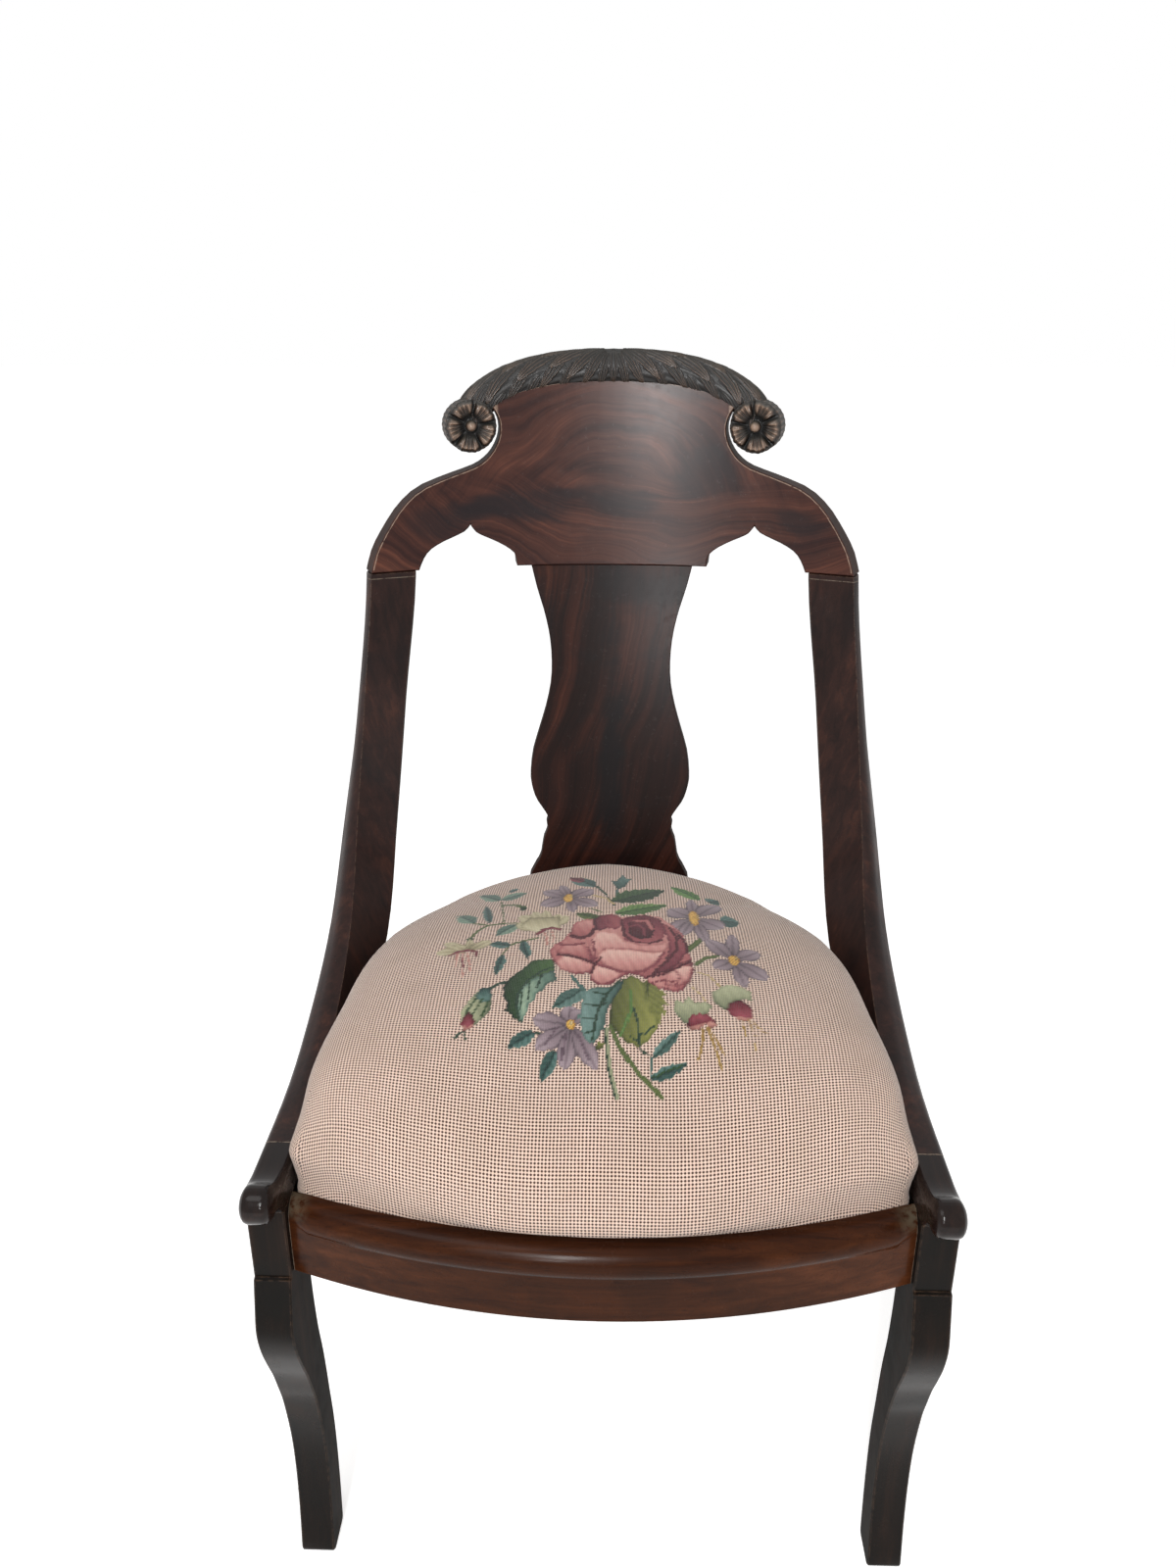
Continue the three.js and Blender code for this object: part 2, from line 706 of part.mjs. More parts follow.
// Carved roll along the crest, ending in two scrolls with rosettes.
// Places as shares of the scroll's distance from the middle and of the roll's height.
const scrollX = 123.5;
const scrollRise = 119;        // its middle above the foot of the crest rail
const scrollZ = jointHeight + scrollRise;
const scrollRadius = 21.5;
const rollUp = 14.2;           // middle of the roll above the crest rail, on the middle line
const rollCrest = jointHeight + crestRise + rollUp;
const rollDepth = 9;           // its middle behind the tablet's face
const rollHalfHigh = 14.3;
const rollHalfDeep = 14.5;
const rollPathShares = [[0, 1], [0.28, 0.968], [0.56, 0.862], [0.79, 0.65], [0.945, 0.36], [1, 0.05]];
const rollThickShares = [1, 0.99, 0.97, 0.95, 0.93, 0.85];
const leafSprays = 7;          // overlapping leaves on each half of the roll
const leafLift = 0.09;         // how far a leaf's tip stands above the next leaf's root
const rollFlutes = 9;
const fluteDeep = 0.045;
const rollSides = 27;
const rollSteps = 36;

function carvedRoll() {
  const half = rollPathShares.map(([x, z]) => new THREE.Vector2(
    x * scrollX, scrollZ + z * (rollCrest - scrollZ)));
  const path = new THREE.SplineCurve([
    ...half.slice(1).reverse().map((point) => new THREE.Vector2(-point.x, point.y)),
    ...half,
  ]);
  const thick = smooth(rollThickShares);
  const section = [];
  for (let j = 0; j < rollSides; j++) {
    const angle = (2 * Math.PI * j) / rollSides;
    section.push(new THREE.Vector2(Math.cos(angle), Math.sin(angle)));
  }
  const rings = [];
  for (let i = 0; i <= rollSteps; i++) {
    const t = i / rollSteps;
    const spot = path.getPoint(t);
    const along = path.getTangent(t);
    const out = Math.abs(2 * t - 1);
    const spray = out * leafSprays;
    const leaf = 1 + leafLift * (spray - Math.floor(spray) - 0.5);
    rings.push(section.map(({ x: cos, y: sin }, j) => {
      const wave = Math.cos((2 * Math.PI * j * rollFlutes) / rollSides + Math.PI * spray);
      const flute = 1 - fluteDeep * (0.5 + 0.5 * wave);
      const scale = thick(out) * leaf * flute;
      const up = rollHalfHigh * scale * cos;
      return new THREE.Vector3(
        spot.x - along.y * up,
        rollDepth + rollHalfDeep * scale * sin,
        spot.y + along.x * up,
      );
    }));
  }
  return loft(rings, section);
}

// Scroll end: a drum on the roll's end, its front a rosette of cupped petals round a bead
const drumFront = -8;
const drumBack = 25;
const petals = 6;
const petalCup = 3.2;
const beadRadius = 4.6;
const drumSteps = 36;
const rosetteShares = [0, 0.12, 0.22, 0.26, 0.4, 0.6, 0.8, 0.93, 1];
const petalStartShare = 0.22;
const petalRimShare = 0.95;
const petalScallop = 0.06;
const drumChamferShare = 0.86;

function scrollDrum() {
  const rings = rosetteShares.length;
  const points = [new THREE.Vector3(0, drumFront - beadRadius / 2, 0)];
  const faces = [];
  const petalAt = (share, angle) => {
    const inPetal = Math.abs(Math.cos((angle * petals) / 2));
    if (share * scrollRadius <= beadRadius + weld) {
      const rise = Math.sqrt(Math.max(0, 1 - (share * scrollRadius / beadRadius) ** 2));
      return drumFront - (beadRadius / 2) * rise;
    }
    const cup = Math.sin(Math.PI * (share - petalStartShare) / (1 - petalStartShare));
    const dish = share > petalRimShare ? 1 : 0.5 - 0.5 * cup * inPetal;
    return drumFront + petalCup * ((1 - inPetal) * cup + dish);
  };
  for (let i = 1; i < rings; i++) {
    for (let j = 0; j < drumSteps; j++) {
      const angle = (2 * Math.PI * j) / drumSteps;
      const notch = 1 - Math.abs(Math.cos((angle * petals) / 2));
      const radius = rosetteShares[i] * scrollRadius * (1 - petalScallop * rosetteShares[i] * notch);
      points.push(new THREE.Vector3(
        radius * Math.cos(angle), petalAt(rosetteShares[i], angle), radius * Math.sin(angle)));
    }
  }
  const backs = [[1, drumBack - petalCup], [drumChamferShare, drumBack]];
  for (const [share, depth] of backs) {
    for (let j = 0; j < drumSteps; j++) {
      const angle = (2 * Math.PI * j) / drumSteps;
      points.push(new THREE.Vector3(
        share * scrollRadius * Math.cos(angle), depth, share * scrollRadius * Math.sin(angle)));
    }
  }
  points.push(new THREE.Vector3(0, drumBack, 0));
  const total = rings - 1 + backs.length;
  for (let j = 0; j < drumSteps; j++) {
    const k = (j + 1) % drumSteps;
    faces.push([0, 1 + j, 1 + k]);
    for (let i = 0; i < total - 1; i++) {
      const a = 1 + i * drumSteps;
      const b = a + drumSteps;
      faces.push([a + j, b + j, b + k], [a + j, b + k, a + k]);
    }
    const last = 1 + (total - 1) * drumSteps;
    faces.push([last + j, points.length - 1, last + k]);
  }
  return closedMesh(points, faces).translate(scrollX, 0, scrollZ);
}

function crestCarving() {
  const drum = scrollDrum();
  const groove = bentPlate(offset(crestOutline(), glueLine), -glueLine, crestThick + glueLine, 0);
  return cut(bendToBack(join(carvedRoll(), drum, mirrored(drum))), groove);
}

// Front rail: bowed in plan, with a torus along its top edge
const frontRailThick = 27;
const torusRadius = 13;
const torusBack = 15;
const torusRise = 1;           // its top stands this far above the rails
const torusFade = 14;          // it dies away over this length at each end
const frontRailSteps = 30;

function frontRailSection(full) {
  const proud = torusProud * full;
  const top = railTop + torusRise * full;
  const centre = new THREE.Vector2(torusRadius - proud, top - torusRadius);
  const from = Math.PI + Math.acos((torusRadius - proud) / torusRadius);
  const points = [new THREE.Vector2(arris, railBottom), new THREE.Vector2(0, railBottom + arris)];
  const steps = 10;
  for (let k = 0; k <= steps; k++) {
    const angle = from - (from - Math.PI / 2) * (k / steps);
    points.push(new THREE.Vector2(
      centre.x + torusRadius * Math.cos(angle),
      centre.y + torusRadius * Math.sin(angle),
    ));
  }
  points.push(
    new THREE.Vector2(torusBack, top - torusRise / 2),
    new THREE.Vector2(torusBack, rebateTop),
    new THREE.Vector2(frontRailThick, rebateTop),
    new THREE.Vector2(frontRailThick, railBottom),
  );
  return points;
}

function frontRail() {
  const end = legInner - glueLine;
  const rings = [];
  for (let i = 0; i <= frontRailSteps; i++) {
    const x = end * (2 * i / frontRailSteps - 1);
    const full = THREE.MathUtils.smoothstep(end - Math.abs(x), 0, torusFade);
    const front = frontFaceAt(x);
    rings.push(frontRailSection(full).map(({ x: depth, y: z }) => new THREE.Vector3(x, front + depth, z)));
  }
  const tongue = tenon(frontTenonLow, [frontTenonHigh[0] - fit, frontTenonHigh[1]]);
  return join(loft(rings, frontRailSection(1)), tongue, mirrored(tongue));
}

// Side rails: follow the seat's sides, rebated for the drop-in seat
const rearLegOuter = railOuterAt(rearLegFront);
const rearLegInner = rearLegOuter - legThick;
const sideTenonOut = 8;         // from the rear leg's inner face
const rearTenonX = rearLegInner + sideTenonOut;
const sideRailSteps = 14;

function sideRail() {
  const sectionAt = (y) => {
    const outer = railOuterAt(y);
    const strip = seatSideAt(y) + seatGap;
    const inner = railInnerAt(y);
    return [
      new THREE.Vector2(outer - arris, railBottom), new THREE.Vector2(outer, railBottom + arris),
      new THREE.Vector2(outer, railTop - arris), new THREE.Vector2(outer - arris, railTop),
      new THREE.Vector2(strip, railTop), new THREE.Vector2(strip, rebateTop),
      new THREE.Vector2(inner, rebateTop), new THREE.Vector2(inner, railBottom),
    ];
  };
  const rings = [];
  const from = taperStart + glueLine;
  const to = rearLegFront - glueLine;
  for (let i = 0; i <= sideRailSteps; i++) {
    const y = from + (to - from) * (i / sideRailSteps);
    rings.push(sectionAt(y).map((point) => new THREE.Vector3(point.x, y, point.y)));
  }
  const front = tenon([sideTenonLow[0], sideTenonLow[1] + fit], sideTenonHigh);
  const rear = tenon(
    [rearTenonX, rearLegFront - cutOver],
    [rearTenonX + tenonThick, rearLegFront + tenonLong - fit],
  );
  return join(loft(rings, sectionAt(from)), front, rear);
}

// Rear legs: sawn sabre shape under a square block.
// Shares of the sweep from the block's front to the heel, and of the rail's height.
const rearBlockDepth = 40;
const rearFrontShares = [
  [0, 0.93], [0.015, 0.8], [0.07, 0.62], [0.19, 0.42], [0.38, 0.22], [0.655, 0.017],
];
const rearBackShares = [
  [1, 0.017], [0.79, 0.2], [0.58, 0.4], [0.42, 0.6], [0.325, 0.8], [0.3, 0.96],
];

function rearLegOutline() {
  const onLeg = ([y, z]) => new THREE.Vector2(rearLegFront + y * rearSweep, z * railBottom);
  const front = rearFrontShares.map(onLeg);
  const back = rearBackShares.map(onLeg);
  const toe = front[front.length - 1];
  const shape = new THREE.Shape();
  shape.moveTo(rearLegFront, railTop);
  shape.lineTo(front[0].x, front[0].y);
  shape.splineThru(front.slice(1));
  shape.lineTo(toe.x + soleRound / 2, 0);
  shape.lineTo(rearHeel - soleRound, 0);
  shape.lineTo(back[0].x, back[0].y);
  shape.splineThru(back.slice(1));
  shape.lineTo(rearLegFront + rearBlockDepth, railTop);
  shape.closePath();
  return shape;
}

// Rear rail: carries the splat's foot and the drop-in seat's rear edge
const rearRailSetBack = 10;     // from the front of the rear legs
const rearRailLedge = 8;        // carries the seat
const rearRailThick = 30;
const rearTenonIn = 14;
const rearRailFront = rearLegFront + rearRailSetBack;
const rearRailStrip = rearRailFront + rearRailLedge;
const rearRailBack = rearRailFront + rearRailThick;
const rearTenonY = rearRailFront + rearTenonIn;

// Square block over the sabre leg, its corner cut out for the drop-in seat
function rearLeg() {
  return cut(
    sideBoard(rearLegOutline(), rearLegInner, rearLegOuter, arris, 1, 4),
    mortise([rearTenonX, rearLegFront - cutOver], [rearTenonX + tenonThick, rearLegFront + tenonLong]),
    mortise([rearLegInner - cutOver, rearTenonY], [rearLegInner + tenonLong, rearTenonY + tenonThick]),
    seatWell(),
  );
}

function rearRail() {
  const section = [
    [rearRailFront, railBottom], [rearRailBack, railBottom], [rearRailBack, railTop],
    [rearRailStrip, railTop], [rearRailStrip, rebateTop], [rearRailFront, rebateTop],
  ].map(([y, z]) => new THREE.Vector2(y, z));
  const end = rearLegInner - glueLine;
  const rail = sideBoard(new THREE.Shape(section), -end, end, 0);
  const tongue = tenon(
    [rearLegInner - cutOver, rearTenonY],
    [rearLegInner + tenonLong - fit, rearTenonY + tenonThick],
  );
  return cut(join(rail, tongue, mirrored(tongue)), splatTenonFoot(fit));
}

// Corner blocks glued inside the seat frame, under the drop-in seat
const cornerLeg = 46;
const cornerDrop = 2;          // below the rebate that carries the seat
const cornerTop = rebateTop - cornerDrop;
const cornerSteps = 6;

function flatBlock(outline, low, high) {
  const shape = new THREE.Shape(outline);
  const geometry = new THREE.ExtrudeGeometry(shape, { depth: high - low, bevelEnabled: false });
  return geometry.translate(0, 0, low);
}

function frontCornerBlock() {
  const railBack = (x) => frontFaceAt(x) + frontRailThick + glueLine;
  const outline = [];
  const corner = railInnerAt(taperStart) - glueLine;
  for (let k = 0; k <= cornerSteps; k++) {
    const x = corner - cornerLeg + cornerLeg * (k / cornerSteps);
    outline.push(new THREE.Vector2(x, railBack(x)));
  }
  for (let k = 1; k <= cornerSteps; k++) {
    const y = railBack(corner) + cornerLeg * (k / cornerSteps);
    outline.push(new THREE.Vector2(railInnerAt(y) - glueLine, y));
  }
  return flatBlock(outline, railBottom, cornerTop);
}

function rearCornerBlock() {
  const outline = [];
  const back = rearRailFront - glueLine;
  const inner = rearLegInner - glueLine;
  outline.push(new THREE.Vector2(inner - cornerLeg, back), new THREE.Vector2(inner, back));
  outline.push(new THREE.Vector2(inner, rearLegFront - glueLine));
  for (let k = 0; k <= cornerSteps; k++) {
    const y = rearLegFront - glueLine - cornerLeg * (k / cornerSteps);
    outline.push(new THREE.Vector2(Math.min(inner, railInnerAt(y) - glueLine), y));
  }
  const corners = outline.filter((point, i) => i === 0 || point.distanceTo(outline[i - 1]) > weld);
  return flatBlock(corners, railBottom, cornerTop);
}

// Drop-in seat: four frame members under webbing, stuffing and a needlepoint cover
const coverThick = 2;
const skirt = coverThick + glueLine;
const memberWide = 42;
const seatRear = rearRailStrip - seatGap;
const seatFrontAt = (x) => frontFaceAt(x) + torusBack + seatGap;
const frontMemberBack = 56;
const rearMemberFront = seatRear - skirt - memberWide;
const cornerRound = 14;
const rearCornerRound = 28;
const lapTenon = 20;
const lapThick = 6;
const frameLow = rebateTop + glueLine;
const lapLow = frameLow + (railTop - frameLow - lapThick) / 2;

// Plan outline of the drop-in seat, closely stepped round its corners
const seatFrontSteps = 9;
const seatSideSteps = 6;
const seatCornerSteps = 4;

function seatOutline() {
  const cornerX = seatSideAt(taperStart) - cornerRound;
  const cornerY = seatFrontAt(cornerX) + cornerRound;
  const sideEnd = seatRear - rearCornerRound;
  const at = (x, y) => new THREE.Vector2(x, y);
  const half = [];
  for (let k = 0; k < seatFrontSteps; k++) {
    const x = cornerX * (k / seatFrontSteps);
    half.push(at(x, seatFrontAt(x)));
  }
  half.push(...new THREE.QuadraticBezierCurve(
    at(cornerX, seatFrontAt(cornerX)),
    at(seatFrontHalf, seatFrontAt(seatFrontHalf)),
    at(seatFrontHalf, cornerY),
  ).getPoints(seatCornerSteps));
  for (let k = 1; k < seatSideSteps; k++) {
    const y = cornerY + (sideEnd - cornerY) * (k / seatSideSteps);
    half.push(at(seatSideAt(y), y));
  }
  half.push(...new THREE.QuadraticBezierCurve(
    at(seatSideAt(sideEnd), sideEnd),
    at(seatSideAt(seatRear), seatRear),
    at(seatSideAt(seatRear) - rearCornerRound, seatRear),
  ).getPoints(seatCornerSteps));
  half.push(at(half[half.length - 1].x / 2, seatRear), at(0, seatRear));
  return bothHalves(half);
}

const seatPlan = (inset) => offset(seatOutline(), -inset);

// The space that the drop-in seat's edge sits down into
const seatWell = () => flatBlock(seatPlan(-seatGap), rebateTop, railTop + cutOver);

function lap(lowY, highY, grow) {
  const y = (lowY + highY) / 2;
  const x = seatSideAt(y) - skirt - memberWide / 2;
  const half = memberWide / 4;
  return boxBetween(
    [x - half - grow, lowY - grow, lapLow - grow],
    [x + half + grow, highY + grow, lapLow + lapThick + grow],
  );
}

const frontLap = (grow) => lap(frontMemberBack - lapTenon, frontMemberBack + cutOver, grow);
const rearLap = (grow) => lap(rearMemberFront - cutOver, rearMemberFront + lapTenon, grow);
const beyondSeat = legOuter;

// The seat frame's blank between two lines across the seat
function seatSlice(fromY, toY) {
  const blank = flatBlock(seatPlan(skirt), frameLow, railTop);
  const keep = boxBetween([-beyondSeat, fromY, 0], [beyondSeat, toY, jointHeight]);
  return toGeometry(toSolid(blank).intersect(toSolid(keep)));
}

function endMember(fromY, toY, lapTool) {
  return cut(seatSlice(fromY, toY), lapTool(fit), mirrored(lapTool(fit)));
}

function sideMember() {
  const from = frontMemberBack + glueLine;
  const to = rearMemberFront - glueLine;
  const inside = [
    new THREE.Vector2(-beyondSeat, to + cutOver),
    new THREE.Vector2(-beyondSeat, from - cutOver),
  ];
  for (let k = 0; k <= seatSideSteps; k++) {
    const y = from - cutOver + (to - from + 2 * cutOver) * (k / seatSideSteps);
    inside.push(new THREE.Vector2(seatSideAt(y) - skirt - memberWide, y));
  }
  return join(cut(seatSlice(from, to), flatBlock(inside, 0, jointHeight)), frontLap(0), rearLap(0));
}

// Webbing: three straps each way, tacked on top of the frame
const strapWide = 50;
const strapThick = 1.5;
const strapHold = 26;          // how far a strap's end lies on the frame
const strapAcrossShares = [0.305, 0.523, 0.74];
const strapAlongShares = [-0.45, 0, 0.45];
const alongLow = railTop + glueLine;
const acrossLow = alongLow + strapThick + glueLine;

function strapAcross(share) {
  const front = share * seatRear - strapWide / 2;
  const back = front + strapWide;
  const half = seatSideAt(back) - skirt - memberWide + strapHold;
  return boxBetween([-half, front, acrossLow], [half, back, acrossLow + strapThick]);
}

function strapAlong(share) {
  const x = share * seatFrontHalf;
  return boxBetween(
    [x - strapWide / 2, frontMemberBack - strapHold, alongLow],
    [x + strapWide / 2, rearMemberFront + strapHold, alongLow + strapThick],
  );
}

// The seat's crown: a superellipse from every point of the rim to the top, steeper at the
// sides than at the front and the corners. The fullness runs from the front to the back.
const seatCentre = new THREE.Vector2(0, 165);
const widestZ = 369;
const crownTop = 463;
const padLow = acrossLow + strapThick + glueLine;
const pinch = 2.5;             // how far the sides draw in under the widest line
const pinchZ = 362;
const fullness = smooth([1.98, 2.05, 2.9, 4.2, 4.32, 3.1, 1.89, 2.7, 3.6]);
const swell = 9;               // how far the front swells out over the front rail
const swellShare = smooth([1, 0.8, 0, 0.2, 0.35, 0.35, 0.33, 0.27, 0.22]);
const crownSteps = 8;
const crownWide = 174;         // half axes of the oval that the rim turns into on its way up
const crownLong = 202;
const directionAt = (spoke) => Math.atan2(Math.abs(spoke.x), -spoke.y) / Math.PI;
const skirtLow = frameLow + arris;

// One skin of the cushion: rows of points from its lower rim up to its top
function cushionSkin(inset, low, hasSkirt) {
  const rim = seatPlan(inset);
  const rise = crownTop - inset - widestZ;
  const rows = [];
  const straight = rim.map((point) => point.clone().sub(seatCentre));
  const swollen = straight.map(
    (from) => from.clone().setLength(from.length() + swell * swellShare(directionAt(from))));
  const drawn = (spokes) => spokes.map(
    (from) => from.clone().setLength(from.length() - pinch).add(seatCentre));
  const level = (outline, z) => outline.map(({ x, y }) => new THREE.Vector3(x, y, z));
  if (hasSkirt) rows.push(level(rim, low), level(rim, railTop + glueLine));
  else rows.push(level(drawn(straight), low));
  rows.push(level(drawn(swollen), pinchZ));
  for (let k = 0; k < crownSteps; k++) {
    const angle = (Math.PI / 2) * (k / crownSteps);
    rows.push(swollen.map((from) => {
      const full = fullness(directionAt(from));
      const oval = 1 / Math.hypot(from.x / (crownWide - inset), from.y / (crownLong - inset));
      const rounded = THREE.MathUtils.lerp(1, oval, (k / crownSteps) ** 2);
      const out = rounded * Math.cos(angle) ** (2 / full);
      const up = Math.sin(angle) ** (2 / full);
      return new THREE.Vector3(out * from.x + seatCentre.x, out * from.y + seatCentre.y, widestZ + rise * up);
    }));
  }
  return { rows, top: new THREE.Vector3(seatCentre.x, seatCentre.y, widestZ + rise) };
}

// Triangles between rows of points, from point number start on, up to the one point on top
function crownFaces(start, rowCount, rowLength) {
  const faces = [];
  for (let i = 0; i < rowCount - 1; i++) {
    for (let j = 0; j < rowLength; j++) {
      const a = start + i * rowLength + j;
      const b = start + i * rowLength + (j + 1) % rowLength;
      faces.push([a, b, b + rowLength], [a, b + rowLength, a + rowLength]);
    }
  }
  const last = start + (rowCount - 1) * rowLength;
  const top = start + rowCount * rowLength;
  for (let j = 0; j < rowLength; j++) faces.push([last + j, last + (j + 1) % rowLength, top]);
  return faces;
}

function seatPad() {
  const { rows, top } = cushionSkin(skirt, padLow, false);
  const rowLength = rows[0].length;
  const centre = new THREE.Vector3(seatCentre.x, seatCentre.y, padLow);
  const points = [...rows.flat(), top, centre];
  const faces = crownFaces(0, rows.length, rowLength);
  for (let j = 0; j < rowLength; j++) faces.push([(j + 1) % rowLength, j, points.length - 1]);
  return closedMesh(points, faces);
}

function seatCover() {
  const outside = cushionSkin(0, skirtLow, true);
  const inside = cushionSkin(coverThick, skirtLow, true);
  const rowLength = outside.rows[0].length;
  const outer = [...outside.rows.flat(), outside.top];
  const inner = [...inside.rows.flat(), inside.top];
  const faces = crownFaces(0, outside.rows.length, rowLength);
  const turned = crownFaces(outer.length, inside.rows.length, rowLength).map(([a, b, c]) => [a, c, b]);
  for (let j = 0; j < rowLength; j++) {
    const k = (j + 1) % rowLength;
    faces.push([k, j, outer.length + j], [k, outer.length + j, outer.length + k]);
  }
  return closedMesh([...outer, ...inner], [...faces, ...turned]);
}

place('crest_rail', crestRail(), veneer);
place('crest_carving', crestCarving(), carvedWood);
place('splat', splat(), veneer);
placePair('stile', stile(), darkWood);
placePair('arm_end', armEnd(), darkWood);
placePair('front_leg', frontLeg(), darkWood);
placePair('rear_leg', rearLeg(), darkWood);
place('front_rail', frontRail(), darkWood);
placePair('side_rail', sideRail(), darkWood);
place('rear_rail', rearRail(), darkWood);
placePair('front_corner_block', frontCornerBlock(), innerWood);
placePair('rear_corner_block', rearCornerBlock(), innerWood);
placePair('outer_crest_dowel', crestDowel(crestDowelShares[0], 0), innerWood);
placePair('inner_crest_dowel', crestDowel(crestDowelShares[1], 0), innerWood);
placePair('arm_seam_dowel', seamDowel(0), innerWood);
placePair('leg_block_dowel', blockDowel(0), innerWood);

place('seat_frame_front', endMember(-beyondSeat, frontMemberBack, frontLap), innerWood);
place('seat_frame_rear', endMember(rearMemberFront, rearHeel, rearLap), innerWood);
placePair('seat_frame_side', sideMember(), innerWood);
strapAlongShares.forEach((share, i) => place(`webbing_along_${i + 1}`, strapAlong(share), jute));
strapAcrossShares.forEach((share, i) => place(`webbing_across_${i + 1}`, strapAcross(share), jute));
place('seat_pad', seatPad(), stuffing);
place('seat_cover', seatCover(), needlepoint);

export default chair;
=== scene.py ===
# Lyre back side chair: polished mahogany, a carved crest and a needlepoint drop-in seat.
import math
import bmesh
import bpy
import numpy as np
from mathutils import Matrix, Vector
from mathutils.bvhtree import BVHTree
from mathutils.kdtree import KDTree


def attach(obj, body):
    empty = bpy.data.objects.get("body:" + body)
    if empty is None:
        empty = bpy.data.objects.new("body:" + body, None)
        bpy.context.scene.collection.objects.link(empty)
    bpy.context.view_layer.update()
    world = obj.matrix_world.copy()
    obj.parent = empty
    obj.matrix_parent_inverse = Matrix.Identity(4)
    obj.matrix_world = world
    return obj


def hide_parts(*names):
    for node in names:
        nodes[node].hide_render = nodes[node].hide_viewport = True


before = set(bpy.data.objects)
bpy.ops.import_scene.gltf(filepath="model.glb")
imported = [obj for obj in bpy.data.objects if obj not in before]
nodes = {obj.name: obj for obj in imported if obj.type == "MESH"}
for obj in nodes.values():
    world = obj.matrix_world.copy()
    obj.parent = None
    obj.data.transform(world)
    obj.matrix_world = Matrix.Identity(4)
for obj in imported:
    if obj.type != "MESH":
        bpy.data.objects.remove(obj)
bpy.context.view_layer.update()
mm = 0.001
seatMiddle = 237.75  # the seat's own Y counts from the front of the leg blocks
print("frame loaded:", len(nodes), "nodes")


def tone(code):  # a colour as it is seen, six hex digits, to the linear one that shaders use
    parts = [int(code[k:k + 2], 16) / 255 for k in (0, 2, 4)]
    return [p / 12.92 if p < 0.04045 else ((p + 0.055) / 1.055) ** 2.4 for p in parts] + [1.0]


def ease(low, high, value):  # smooth step on arrays
    share = np.clip((value - low) / (high - low), 0, 1)
    return share * share * (3 - 2 * share)


def throughPoints(values, share):  # smooth run through values at equal steps of 0 to 1
    values = np.asarray(values, float)
    place = np.clip(share, 0, 1) * (len(values) - 1)
    k = np.clip(place.astype(int), 0, len(values) - 2)
    t = place - k
    at = lambda i: values[np.clip(i, 0, len(values) - 1)]
    a, b, c, d = at(k - 1), at(k), at(k + 1), at(k + 2)
    return 0.5 * (2 * b + (c - a) * t + (2 * a - 5 * b + 4 * c - d) * t ** 2 + (3 * b - a - 3 * c + d) * t ** 3)


# Shader maths
class Field:  # the value of one socket, ready for sums
    def __init__(self, paint, socket):
        self.paint = paint
        self.socket = socket

    def sum(self, operation, *values, clamp=False):
        node = self.paint.node("Math", {"operation": operation, "use_clamp": clamp}, dict(enumerate(values)))
        return Field(self.paint, node.outputs[0])

    def __add__(self, other): return self.sum("ADD", self, other)
    def __radd__(self, other): return self.sum("ADD", other, self)
    def __sub__(self, other): return self.sum("SUBTRACT", self, other)
    def __rsub__(self, other): return self.sum("SUBTRACT", other, self)
    def __mul__(self, other): return self.sum("MULTIPLY", self, other)
    def __rmul__(self, other): return self.sum("MULTIPLY", other, self)
    def __truediv__(self, other): return self.sum("DIVIDE", self, other)
    def __rtruediv__(self, other): return self.sum("DIVIDE", other, self)
    def __pow__(self, other): return self.sum("POWER", self, other)
    def __abs__(self): return self.sum("ABSOLUTE", self)
    def __neg__(self): return self.sum("MULTIPLY", self, -1)
    def fract(self): return self.sum("FRACT", self)
    def floor(self): return self.sum("FLOOR", self)
    def sin(self): return self.sum("SINE", self)
    def cos(self): return self.sum("COSINE", self)
    def root(self): return self.sum("SQRT", self)
    def turn(self, other): return self.sum("ARCTAN2", self, other)
    def least(self, other): return self.sum("MINIMUM", self, other)
    def most(self, other): return self.sum("MAXIMUM", self, other)

    def step(self, low, high):  # smooth step between two values
        node = self.paint.node("MapRange", {"interpolation_type": "SMOOTHSTEP"}, {
            "Value": self, "From Min": low, "From Max": high})
        return Field(self.paint, node.outputs[0])


